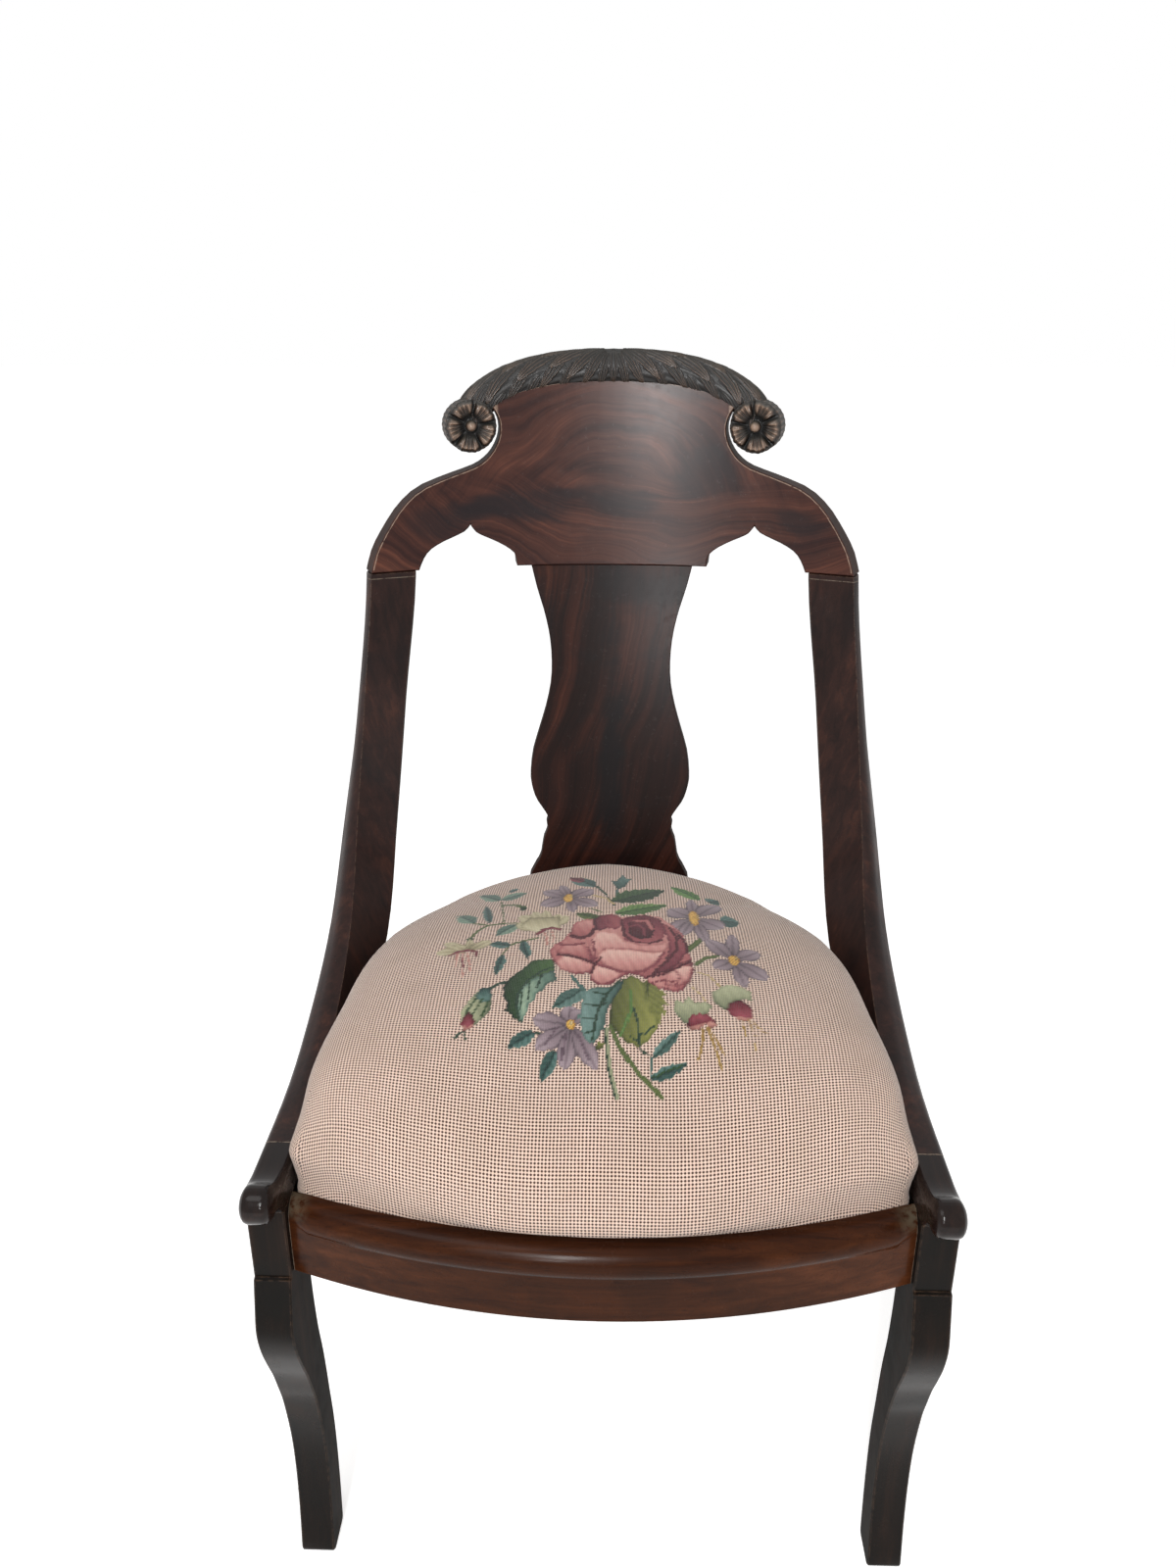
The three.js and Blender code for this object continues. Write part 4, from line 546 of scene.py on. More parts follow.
def canvasLines(points, faces):  # how far along the canvas each point lies, across and along
    c = cushion
    tree = BVHTree.FromPolygons([tuple(p) for p in points.tolist()], faces.tolist())
    cell = 2.5
    xs = np.arange(-210, 210.1, cell)
    ys = np.arange(-30, 375.1, cell)
    heights = np.full((len(ys), len(xs)), np.nan)
    for i, y in enumerate(ys):
        for j, x in enumerate(xs):
            hit = tree.ray_cast(Vector((x, y, 600)), Vector((0, 0, -1)))[0]
            if hit is not None:
                heights[i, j] = hit.z
    heights = np.where(np.isnan(heights), c["widest"], heights)
    heights = np.maximum(heights, c["widest"])
    along = lambda h: np.concatenate([[0], np.cumsum(np.hypot(cell, np.diff(h)))])
    middleX = int(np.argmin(np.abs(xs)))
    middleY = int(np.argmin(np.abs(ys - c["centre"][1])))
    across = np.array([along(row) for row in heights])
    across -= across[:, middleX:middleX + 1]
    down = np.array([along(column) for column in heights.T]).T
    down -= down[middleY:middleY + 1, :]
    # the canvas is pulled so that its rows run along the front edge
    rimY = c["frontAt"] + 9 + c["bow"] * (xs / c["bowHalf"]) ** 2
    rimDown = np.array([np.interp(y, ys, column) for y, column in zip(rimY, down.T)])
    pull = rimDown[middleX] / np.minimum(rimDown, -1)
    down = np.where(down < 0, down * (1 + (pull - 1) * ease(0, 1, np.abs(down / rimDown))), down)
    gx, gy, gz = points.T
    sideReach = c["frontHalf"] - 8 - c["taper"] * np.clip((gy - c["taperStart"]) / c["taperRun"], 0, 1)
    insideX = np.clip(gx, -sideReach, sideReach)  # the last lines before the rim, where a ray still meets the top
    insideY = np.clip(gy, c["frontAt"] + 9 + c["bow"] * (gx / c["bowHalf"]) ** 2, c["rear"] - 8)
    fx = np.clip((insideX - xs[0]) / cell, 0, len(xs) - 1.001)
    fy = np.clip((insideY - ys[0]) / cell, 0, len(ys) - 1.001)
    j, i = fx.astype(int), fy.astype(int)
    tx, ty = fx - j, fy - i
    look = lambda t: (1 - ty) * ((1 - tx) * t[i, j] + tx * t[i, j + 1]) + ty * ((1 - tx) * t[i + 1, j] + tx * t[i + 1, j + 1])
    u, v, top = look(across), look(down), look(heights)
    beyond = np.hypot(gx - insideX, gy - insideY)
    fall = np.where(beyond > 0, np.hypot(beyond, np.maximum(0, top - gz)), 0)
    overX, overY = (gx - insideX) ** 2, (gy - insideY) ** 2
    share = overX / np.maximum(overX + overY, 1e-6)
    return u + np.sign(gx) * fall * share, v + np.sign(gy - c["centre"][1]) * fall * (1 - share)


def needleworkCover():
    c = cushion
    a = lineShares(292, c["fineHalf"][0])
    b = lineShares(270, c["fineHalf"][1])
    ga, gb = np.meshgrid(a, b, indexing="xy")
    points = cushionSurface(ga.ravel(), gb.ravel())
    coarse = np.linspace(-1, 1, 57)
    free = ease(376, 398, points[:, 2:3])  # held in beside the wood
    points = points + between(coarse, puffed(coarse), ga.ravel(), gb.ravel()) * free
    faces = gridFaces(len(b), len(a))
    u, v = canvasLines(points, faces)
    placed = points - [0, seatMiddle, 0]
    # the edge of the cover turns under and in, so that it is a closed shell
    count = len(points)
    inner = placed.copy()
    inner[:, 2] -= 1.6
    inner[:, :2] *= 0.992
    index = np.arange(count).reshape(len(b), len(a))
    border = np.concatenate([index[0, :-1], index[:-1, -1], index[-1, :0:-1], index[:0:-1, 0]])
    after = np.roll(border, -1)
    walls = np.stack([after, border, border + count, after + count], 1)
    piece = ready(np.vstack([placed, inner]), np.vstack([faces, faces[:, ::-1] + count, walls]), "needlepoint_cover")
    uv = piece.data.uv_layers.new(name="canvas")
    loops = np.zeros(len(piece.data.loops), np.int32)
    piece.data.loops.foreach_get("vertex_index", loops)
    both = np.tile(np.stack([u, v], 1) / needlework["pitch"], (2, 1))
    uv.data.foreach_set("uv", both[loops].astype(np.float32).ravel())
    colours = paintedMotifs(u, v)
    motif = piece.data.color_attributes.new("motif", "FLOAT_COLOR", "POINT")
    motif.data.foreach_set("color", np.tile(colours, (2, 1)).astype(np.float32).ravel())
    piece.data.materials.append(needlepoint())
    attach(piece, "slip_seat")
    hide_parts("seat_cover", "seat_pad")
    return piece


# The bouquet, worked from the stems under all the rest up to the rose; places and widths in
# millimetres on the canvas, counted from the middle of the cushion
bouquet = [
    ("stem", [(-8.3, 98.6), (-0.5, 79.7), (6.2, 61.1)], 2.4, "fern"),
    ("stem", [(8.8, 96.8), (8.1, 82.6), (7.1, 70.7)], 1.9, "teal"),
    ("stem", [(-86.8, 87), (-82, 57.3), (-78.8, 33.5)], 1.3, "moss"),
    ("stem", [(-102.1, 8.5), (-97.6, 21.4), (-90.7, 31), (-81, 32.3), (-69.4, 32.5)], 2.5, "moss"),
    ("stem", [(-102.8, 37.4), (-90.7, 31)], 2.6, "moss"),
    ("stem", [(-84, 74.3), (-75.8, 72.2), (-66.4, 63.7)], 4.2, "moss"),
    ("stem", [(-87.3, -2), (-68.6, -4.3), (-61.4, 2), (-50.4, 5.6)], 2.1, "moss"),
    ("stem", [(-70.3, -4.9), (-74.6, -18.9)], 1.2, "moss"),
    ("stem", [(-70.1, -53.6), (-74.8, -55.8), (-79.2, -60.6)], 2.8, "fern"),
    ("stem", [(-47.4, -100.5), (-42, -99.5)], 1.7, "fern"),
    ("stem", [(-34.3, -113.7), (-30.9, -105.1)], 1.1, "fern"),
    ("stem", [(60.3, -8.9), (65.8, -1.1), (72.3, 10.1)], 4.5, "moss"),
    ("stem", [(65.6, -28), (72.8, -19.3), (81.8, -15.7)], 3.4, "moss"),
    ("stem", [(65.4, -38.3), (73.4, -41.3), (80.7, -54.4)], 1.7, "straw"),
    ("stem", [(61.6, -55.9), (66.6, -62.9), (69.4, -69.4)], 1.2, "straw"),
    ("stem", [(-10.7, 80), (-0.4, 73.2), (5.6, 63.1)], 2.2, "straw"),
    ("stem", [(-11.9, 54.1), (-5.1, 48.7)], 2.6, "moss"),
    ("stem", [(1.8, -95.1), (2.9, -112.4), (5.4, -130), (10.3, -147.1)], 2.4, "pale"),
    ("stem", [(0.6, -95.1), (1.6, -112.4), (3.9, -130), (8.6, -147.1)], 0.9, "fern"),
    ("stem", [(4.4, -92), (10, -106.5), (16.6, -119.1), (23.7, -129.5), (32.7, -138.9), (38.8, -145.9)], 3.2, "moss"),
    ("stem", [(23.8, -108.7), (27.2, -113.6), (32.3, -116.7)], 1.3, "fern"),
    ("stem", [(32.3, -116.7), (31.6, -130.7)], 1.8, "teal"),
    ("stem", [(-98.2, -106.5), (-93.2, -102.1), (-91.6, -109.8)], 0.9, "fern"),
    ("stem", [(-99.4, -109.9), (-96.1, -104.3)], 0.9, "fern"),
    ("leaf", (-9.8, 98.7), (-32.5, 125.9), 16.2, "teal", 0),
    ("leaf", (-20.2, 110.9), (-32.5, 125.9), 10, "wine", 0),
    ("patch", [(2.9, 114.4), (7.2, 112.1), (12.6, 131.9), (14.9, 121.4), (21.3, 119.9), (16.4, 108.6),
         (14.1, 99.2), (8.8, 91.5), (6.5, 98.9)], "teal", 0, -1),
    ("leaf", (4.9, 67.1), (47.5, 99.5), 27.7, "forest", 6),
    ("leaf", (6.9, 45.3), (48.5, 67), 19.9, "spring", 6),
    ("leaf", (-4.3, 35.4), (-23.8, 46.1), 11.5, "moss", 0),
    ("leaf", (75.5, 89.2), (52.7, 111.9), 20.2, "grass", 5),
    ("leaf", (82.2, 89), (92.8, 100.8), 13.3, "teal", 0),
    ("leaf", (87.8, 45.9), (104.6, 46.2), 23.8, "teal", 0),
    ("leaf", (-88.7, 91), (-111.1, 127.3), 11.7, "mint", 0),
    ("leaf", (-88, 92.8), (-66, 97.2), 17.6, "mint", 0),
    ("leaf", (-83.5, 112.4), (-74.5, 110.6), 8.5, "teal", 0),
    ("leaf", (-102.6, 38.5), (-119.1, 61.5), 13.9, "mint", 0),
    ("leaf", (-90.1, 34.9), (-98.7, 79.6), 7.3, "teal", 0),
    ("leaf", (-68.8, 29.9), (-82.7, 10.5), 12.7, "mint", 0),
    ("leaf", (-69.7, -5.6), (-88.8, -0.8), 10, "teal", 0),
    ("leaf", (-61.4, 1.3), (-55.6, -24.7), 7.3, "teal", 0),
    ("leaf", (-74.1, -18.9), (-77.7, -45.3), 6.9, "teal", 0),
    ("leaf", (-69.1, 63.1), (-63.1, 62.1), 9.7, "forest", 0),
    ("leaf", (-103.8, 4.9), (-99.8, 9.8), 5.1, "forest", 0),
    ("petal", (-100.5, -11), (-125.9, -9.3), 11.8, "cream"),
    ("petal", (-100.5, -11), (-121.1, 5.4), 9.2, "cream"),
    ("petal", (-100.5, -11), (-111.1, -2.8), 9.1, "cream"),
    ("petal", (-100.5, -11), (-102, 7.7), 5.9, "cream"),
    ("petal", (-100.5, -11), (-90.5, 2.1), 9.8, "cream"),
    ("petal", (-100.5, -11), (-85.9, 4.4), 10.4, "cream"),
    ("stem", [(-114.8, -16.1), (-108.3, -10.9), (-100.7, -9.7), (-94.4, -12.2)], 2.5, "wine"),
    ("stem", [(-94.4, -12.2), (-94.2, -19.5)], 1, "wine"),
    ("stem", [(-108, -13), (-107.5, -32.5)], 1.6, "blush"),
    ("stem", [(-104.5, -13.4), (-100.7, -46.6)], 1.3, "blush"),
    ("stem", [(-101.1, -13.7), (-95.9, -39.5)], 1.5, "blush"),
    ("stem", [(-104.4, -20), (-101.9, -34.5)], 0.8, "wine"),
    ("petal", (-43.6, 20.9), (-68.6, 30.9), 19.1, "cream"),
    ("petal", (-43.6, 20.9), (-67.4, 47.3), 17.1, "cream"),
    ("petal", (-43.6, 20.9), (-57.5, 54.6), 11.7, "cream"),
    ("petal", (-43.6, 20.9), (-48, 55.4), 8.3, "cream"),
    ("petal", (-43.6, 20.9), (-36.3, 46.4), 10.8, "cream"),
    ("petal", (-43.6, 20.9), (-30.6, 43), 14, "cream"),
    ("patch", [(-66, 25.2), (-59.6, 42), (-36, 41.1), (-34.7, 19.1), (-43.6, 20), (-50.9, 12.9)], "cream", 0, 1),
    ("stem", [(-51.2, 12.1), (-47, 18.7), (-41, 21.8), (-34.7, 18.7)], 3.2, "wine"),
    ("stem", [(-46.7, 14.8), (-43.5, 5.6), (-43.7, -4.8)], 1.5, "blush"),
    ("stem", [(-40.7, 16.8), (-38.3, 5.7), (-38.7, -8)], 1.4, "blush"),
    ("petal", (-30.2, 76.6), (-52, 96.5), 16.1, "violet"),
    ("petal", (-30.2, 76.6), (-37.8, 106.6), 9.5, "violet"),
    ("petal", (-30.2, 76.6), (-11.6, 93), 18.6, "violet"),
    ("petal", (-30.2, 76.6), (-7.5, 58.7), 16.2, "violet"),
    ("petal", (-30.2, 76.6), (-26.3, 48.2), 8.8, "violet"),
    ("petal", (-30.2, 76.6), (-52.4, 64.9), 19.8, "violet"),
    ("dot", (-30.8, 76.3), (3.7, 8.5), "gold"),
    ("dot", (-28.5, 79.3), (1.4, 3.2), "ochre"),
    ("petal", (68.5, 45.3), (49.4, 60.5), 25.7, "violet"),
    ("petal", (68.5, 45.3), (68.3, 87), 10.1, "violet"),
    ("petal", (68.5, 45.3), (90.7, 86.7), 17.8, "violet"),
    ("petal", (68.5, 45.3), (89.8, 30), 24.7, "violet"),
    ("petal", (68.5, 45.3), (75, 3.8), 10.3, "violet"),
    ("petal", (68.5, 45.3), (51.4, 22.1), 16.4, "violet"),
    ("petal", (68.5, 45.3), (57, 12.6), 10.4, "violet"),
    ("dot", (68.2, 46), (3.8, 15.1), "gold"),
    ("dot", (71, 49.4), (1.3, 5.8), "ochre"),
    ("petal", (93.5, -20.3), (95.4, 20.4), 10.7, "violet"),
    ("petal", (93.5, -20.3), (75.4, 9.6), 15.7, "violet"),
    ("petal", (93.5, -20.3), (78.7, -32.1), 15.5, "violet"),
    ("petal", (93.5, -20.3), (98.5, -54.3), 11.2, "violet"),
    ("petal", (93.5, -20.3), (115.7, -42.2), 17.3, "violet"),
    ("petal", (93.5, -20.3), (112.6, -4.3), 15.8, "violet"),
    ("dot", (93.6, -19.7), (3.8, 7.2), "gold"),
    ("dot", (95.5, -17.2), (1.2, 2.3), "ochre"),
    ("petal", (-21.7, -91.5), (-48.5, -88.5), 16.9, "violet"),
    ("petal", (-21.7, -91.5), (-44.8, -112.9), 14.9, "violet"),
    ("petal", (-21.7, -91.5), (-24.9, -127.8), 13, "violet"),
    ("petal", (-21.7, -91.5), (-3.4, -127.8), 13.3, "violet"),
    ("petal", (-21.7, -91.5), (-23.6, -74.5), 13.3, "violet"),
    ("petal", (-21.7, -91.5), (-14, -78.3), 14.9, "violet"),
    ("stem", [(-30.7, -93.8), (-34.9, -101.4), (-38.4, -108.8)], 1.2, "plum"),
    ("stem", [(-25, -99.1), (-26.4, -112.5), (-27, -119.7)], 1.1, "plum"),
    ("stem", [(-16.4, -101.1), (-12.1, -112.5), (-9.3, -119.8)], 1.1, "plum"),
    ("dot", (-22, -91.5), (3.3, 4.3), "gold"),
    ("dot", (-21.7, -90), (1.4, 1.9), "straw"),
    ("patch", [(-36.6, -25), (-42.5, -23.9), (-52.4, -27.2), (-59.9, -38.6), (-67.9, -50), (-70.9, -59.3),
         (-69.3, -71.4), (-66.3, -74.6), (-67.6, -82.4), (-63.4, -85.3), (-61, -89.8), (-56.7, -90.8),
         (-55.2, -94.6), (-53.4, -86.4), (-51.5, -81), (-51.4, -74.6), (-47, -70.8), (-46.6, -64), (-42, -60),
         (-40, -53.8), (-33.7, -49.5), (-35.4, -39.1)], "forest", -1, 0),
    ("patch", [(-35.9, -37.7), (-43.1, -42.3), (-50.8, -49.4), (-56.7, -58.7), (-59.3, -70.7), (-57.7, -83.7),
         (-55.2, -93.6), (-53.4, -86.4), (-51.5, -81), (-51.4, -74.6), (-47, -70.8), (-46.6, -64), (-42, -60),
         (-40, -53.8), (-32.9, -49.4)], "mint", 1, 0),
    ("stem", [(-36.2, -33.4), (-44.9, -39.6), (-54, -50.9), (-60.1, -66.2), (-59.4, -81.7),
         (-55.8, -92.7)], 1.6, "fern"),
    ("stem", [(-44.6, -43.7), (-47, -58)], 1.4, "fern"),
    ("stem", [(-52.3, -52.1), (-52.3, -70.2)], 1.3, "fern"),
    ("stem", [(-57.1, -63.6), (-56.7, -79.4)], 1.3, "fern"),
    ("patch", [(-79.2, -60.1), (-85.5, -59.1), (-89.2, -65.3), (-93.1, -73.6), (-97.2, -84.2), (-97.1, -95.1),
         (-94, -101.5), (-90.3, -100.4), (-85.3, -94.7), (-81.1, -89.8), (-77.3, -83.1),
         (-76.8, -71.8)], "pale", 1, 0),
    ("patch", [(-79.2, -60.1), (-85.5, -59.1), (-89.3, -68.6), (-84.9, -75.7), (-78, -73),
         (-77.3, -67)], "teal", 0, 1),
    ("stem", [(-84.1, -72.1), (-88.6, -86), (-90.8, -94.7)], 1.4, "forest"),
    ("stem", [(-88.5, -72.2), (-94.1, -86.3)], 1.3, "forest"),
    ("stem", [(-79.4, -74.3), (-82.6, -87.8)], 1.2, "forest"),
    ("patch", [(-92, -84), (-95.5, -90.8), (-96.7, -97.6), (-92.4, -102.2), (-87.7, -99), (-86.7, -93.4),
         (-89.3, -87.1)], "wine", 0, 1),
    ("patch", [(-96, -97.6), (-93.6, -102.7), (-88.7, -100.3), (-87.2, -95.5), (-91.2, -98.5)], "blush", 0, -1),
    ("leaf", (31.6, -47.8), (24.1, -110), 31.7, "olive", 7),
    ("patch", [(18.6, -41.9), (12.8, -46.9), (6.4, -57.2), (4.2, -71.5), (3.6, -88.9), (9.9, -98.7),
         (16.1, -106.2), (23.8, -109.6), (30.8, -103.4), (36.7, -93.2), (36.5, -83.1), (32.7, -77.7),
         (33.6, -70.2), (29.7, -66.6), (29, -55), (25.1, -46.1)], "olive", -1, 0),
    ("stem", [(18.5, -58.3), (18.5, -77.5), (14.6, -92.5), (11.5, -100.6)], 1.9, "spring"),
    ("stem", [(20.1, -75.3), (23.3, -88), (24.6, -109.6)], 1.5, "fern"),
    ("stem", [(23.9, -100.1), (29.3, -97), (34, -92.1)], 1.5, "fern"),
    ("stem", [(23.8, -103.9), (17.7, -101.3)], 1.3, "fern"),
    ("patch", [(4.7, -54.4), (-5, -55.6), (-13.8, -58.8), (-15.8, -71.6), (-16.9, -84.8), (-14.9, -97.1),
         (-11.3, -105), (-6.1, -107.8), (-1.6, -101.1), (0.8, -91), (1.9, -78.3), (6.5, -66.8), (12, -57),
         (14.5, -46.9), (9.6, -49.6)], "sea", 1, 0),
    ("stem", [(11.2, -47), (1.6, -62.3), (-3.7, -78.4), (-6, -93.2), (-6.7, -104)], 1.7, "fern"),
    ("stem", [(1.6, -62.3), (-7.3, -60.5)], 1.7, "fern"),
    ("stem", [(-2.2, -73.9), (-12.9, -72.8)], 1.6, "fern"),
    ("stem", [(-4.6, -85.9), (-14, -85.9)], 1.5, "fern"),
    ("stem", [(-5.9, -96.2), (-11.5, -98.2)], 1.4, "fern"),
    ("stem", [(-2.2, -73.9), (1.7, -70.5)], 1.4, "fern"),
    ("leaf", (-13.8, -57.1), (-35.3, -77.6), 13.9, "sea", 0),
    ("stem", [(-23.3, -43.8), (-19.4, -50.4), (-14.6, -57.6)], 2.7, "teal"),
    ("patch", [(-3.1, -105.9), (-4.9, -112.9), (-1, -112.8), (0.8, -106.8)], "olive", 0, -1),
    ("leaf", (-46.3, -98.9), (-63.2, -113.3), 10.7, "teal", 0),
    ("leaf", (-31.6, -112.9), (-40.1, -137.1), 9.7, "teal", 0),
    ("leaf", (33.7, -116.7), (52.1, -95.4), 8.1, "sea", 0),
    ("leaf", (31.5, -133.2), (55.9, -121.6), 8.7, "teal", 0),
    ("stem", [(33.5, -131.5), (43.4, -126.4), (52.5, -123.3)], 1, "forest"),
    ("patch", [(49.3, -67.7), (47.4, -78.6), (50.7, -84), (54.3, -91.2), (58.2, -90.5), (62.4, -84.6),
         (70.3, -82.8), (74.9, -75.6), (70.5, -70.5), (62.2, -71.6), (58.5, -65.2), (54.3, -71.3)], "pale", 0, -1),
    ("patch", [(56.5, -94.3), (57.1, -87.4), (60.1, -83), (65.6, -82), (71.8, -83.5), (75.1, -88.2), (76.4, -92.8),
         (72.1, -92.6), (68.3, -91.6), (65, -96.2), (61.1, -96)], "wine", 0, -1),
    ("patch", [(56.6, -93.4), (60.3, -97.1), (64.2, -96.5), (68.2, -92.4), (73.8, -95.3), (76.8, -92.4),
         (74.1, -89.2), (64.4, -91.8)], "blush", 0, -1),
    ("stem", [(66.5, -95.9), (66.5, -105.4), (64.6, -114.1), (62.6, -120.5)], 1.4, "ochre"),
    ("stem", [(69.8, -95.1), (73.2, -107.7), (75.7, -117.9), (77.9, -127.7)], 1.4, "ochre"),
    ("stem", [(71.3, -95.2), (75.7, -106), (80, -117.7)], 1.3, "ochre"),
    ("patch", [(74.7, -60.9), (75.2, -70.6), (79.3, -76.3), (83.8, -79.7), (89.2, -70.4), (95.8, -67.7),
         (101.6, -69.9), (102.9, -59.9), (96.9, -54.4), (87.4, -51), (82.4, -54.1)], "pale", 0, -1),
    ("patch", [(85, -72.9), (84.1, -79.7), (87.3, -85.3), (91.1, -86.9), (97.3, -88.2), (101.6, -85.3),
         (101.8, -78.4), (97.9, -71.3), (92.6, -67.8)], "wine", 0, 1),
    ("patch", [(87.4, -84.6), (91, -88.6), (97.9, -90.4), (101.8, -86), (96.7, -86)], "blush", 0, -1),
    ("stem", [(93.3, -89.7), (94.7, -98.1), (95.2, -103.1)], 1.1, "ochre"),
    ("stem", [(98, -88.6), (100.3, -101.3), (100.8, -115.1)], 1.4, "ochre"),
    ("stem", [(101.2, -90.4), (104.4, -96.9), (108.6, -101.5)], 1.1, "ochre"),
    ("patch", [(-40.9, -14.8), (-38.5, -6.3), (-32.9, 0.6), (-27.4, 13.3), (-24.6, 28.7), (-17.6, 35),
         (-8.4, 35.4), (-5.3, 42.2), (5.4, 44.8), (12.7, 39.3), (29, 45.8), (41.7, 43.1), (50.8, 29.1), (58, 14.6),
         (61, -1.4), (60.5, -11.6), (63.3, -21.2), (63.9, -36.6), (60.9, -49.4), (54.7, -58.9), (48.2, -60.7),
         (38.7, -57.2), (31.5, -50.3), (26.7, -43.7), (17.7, -40.6), (10.4, -45.7), (3.9, -52.9), (-5, -53.6),
         (-9.5, -48.8), (-11.1, -40.2), (-20.1, -42.2), (-28.4, -39.1), (-35.2, -30.4),
         (-39.3, -21.9)], "rose", 0, -1),
    ("patch", [(-27.4, 12.5), (-24.6, 28.7), (-17.6, 34.2), (-9.6, 34.7), (-8.4, 20.8), (-10.8, 11.2),
         (-18.3, 4.1), (-25.3, 6.1)], "rose", -0.3, -1),
    ("patch", [(-9.6, 34.7), (-5.3, 42.2), (5.5, 44), (11.2, 39.9), (12.3, 25.3), (7.4, 19.4), (0.4, 22),
         (-4.8, 16.5), (-8.7, 20.1)], "rosedark", -1, 0),
    ("patch", [(43, 32.2), (53.1, 22.2), (60.8, 2.7), (60.1, -11.6), (53, -28.6), (44.1, -37.8), (31.7, -43.1),
         (42.8, -25.2), (47.7, -5.5)], "rosedark", -0.5, -1),
    ("patch", [(11.9, 36.2), (19.8, 42), (29.9, 45.1), (41.6, 39.8), (45.6, 19.7), (42.3, 3.9), (33.3, -1.9),
         (23, -0.9), (14.4, 3.7), (11.3, 19.8)], "rosedark", 0, 1),
    ("patch", [(16.6, 30.3), (25.3, 39.1), (34.3, 38), (37.3, 21.7), (34.3, 7.9), (24.8, 5.8),
         (17.9, 11.1)], "winedark", 0, -1),
    ("stem", [(18.9, 25), (24.3, 28.2), (28.5, 22), (29.2, 12)], 2.1, "rosedark"),
    ("stem", [(22.5, 34), (31.5, 34.8), (34.9, 21.7)], 2.9, "rose"),
    ("stem", [(12.7, 25.3), (14.4, 10.3), (21.3, 1.2), (32.4, -0.6), (41.1, 4.6)], 2.3, "winedark"),
    ("patch", [(-10.6, 5.8), (-5.1, 16.5), (7.5, 13.4), (15.3, 2), (26.4, -3.5), (41.8, -1.6), (45.8, 6.6),
         (47.1, -5.5), (43.2, -12.3), (34.7, -13.3), (17.8, -9.8), (0.8, -9.4), (-5.3, -22.6), (-9.4, -20.5),
         (-12.5, -7.3)], "roselight", 0, -1),
    ("patch", [(-5.8, -18.1), (0.8, -9.4), (17.8, -10.5), (34.7, -13.3), (44.1, -11), (36, -29.1), (27.6, -37.1),
         (17.7, -38.7), (9.5, -36.4), (-0.5, -31.8)], "roselight", 0, -1),
    ("patch", [(-36.3, -15.3), (-30.1, -2.7), (-18.2, -0.7), (-12.4, -10.7), (-6.9, -28.4), (-15.7, -23.4),
         (-26, -18.3)], "rose", 0, -1),
    ("patch", [(-35.6, -28), (-29.4, -17.7), (-17.4, -23.5), (-8, -29.9), (-10.3, -38.8), (-21.7, -41.1),
         (-31.8, -37.5)], "roselight", 0, -1),
    ("patch", [(-10.2, -40.1), (-6.3, -31.3), (1.2, -32.8), (12.5, -39.6), (7.9, -47.1), (-1.4, -53.3),
         (-8.9, -49)], "roselight", 0, -1),
    ("patch", [(29.2, -44.1), (44.1, -37.8), (55.8, -25.4), (63.3, -21.2), (63.5, -36.6), (60.8, -48.6),
         (54.4, -58.4), (48.3, -60.2), (38.7, -56.7), (32, -50.3)], "rose", 1, 0),
    ("patch", [(44, -40.1), (54.2, -31), (62.2, -30.7), (60.1, -46.7), (51.6, -55.9),
         (42, -53.2)], "roselight", 0, -1),
    ("stem", [(-25.5, 8.9), (-18.4, 5.5), (-11.9, 9.5), (-8.7, 19)], 3.3, "winedark"),
    ("stem", [(-9.6, 34.7), (-8.7, 20.8), (-10.7, 9.7)], 1.4, "winedark"),
    ("stem", [(-33.5, -3.8), (-24.9, -5), (-16.4, -2.3)], 2.3, "rosedark"),
    ("stem", [(-34.5, -17.9), (-26, -19.3), (-15.7, -23.4), (-6.9, -29)], 2.6, "winedark"),
    ("stem", [(-9.7, 4.7), (-8, -10.5), (-7, -22)], 1.4, "rosedark"),
    ("stem", [(-12.5, -7.3), (-9.9, -19.9), (-5.6, -27)], 1.2, "rosedark"),
    ("stem", [(-6.9, -29), (1.2, -32.8), (9.5, -36.9), (17.7, -39.3), (27.6, -37.7), (36, -29.7),
         (43.2, -12.3)], 2.3, "rosedark"),
    ("stem", [(-2.4, -21), (-6.9, -29), (-9.4, -39.6)], 1.9, "winedark"),
    ("stem", [(48.3, 24.2), (53.4, 8.7), (53.1, -8.6), (44.5, -25.2), (35.9, -37.3)], 2.2, "winedark"),
    ("stem", [(54.5, 15.5), (59.9, 0.2), (59.8, -11.6)], 1.9, "winedark"),
    ("stem", [(30, -44.6), (42.4, -40.6), (52.5, -32.6), (62, -24.4)], 2.2, "winedark"),
    ("stem", [(34, -50.4), (40.5, -48.1), (48.6, -49.5)], 1.7, "rosedark"),
    ("stem", [(41.1, -56.1), (49.1, -60.3), (54.7, -58.4)], 1.4, "rosedark"),
    ("stem", [(-9.2, -47.5), (-1, -52.6), (7.9, -47.1)], 1.4, "rosedark"),
    ("stem", [(49.9, -35.7), (53.7, -44.1), (50.1, -53.4)], 1.4, "rosedark"),
    ("stem", [(2.9, 35.6), (1.2, 22.7)], 1.8, "rosedark"),
]
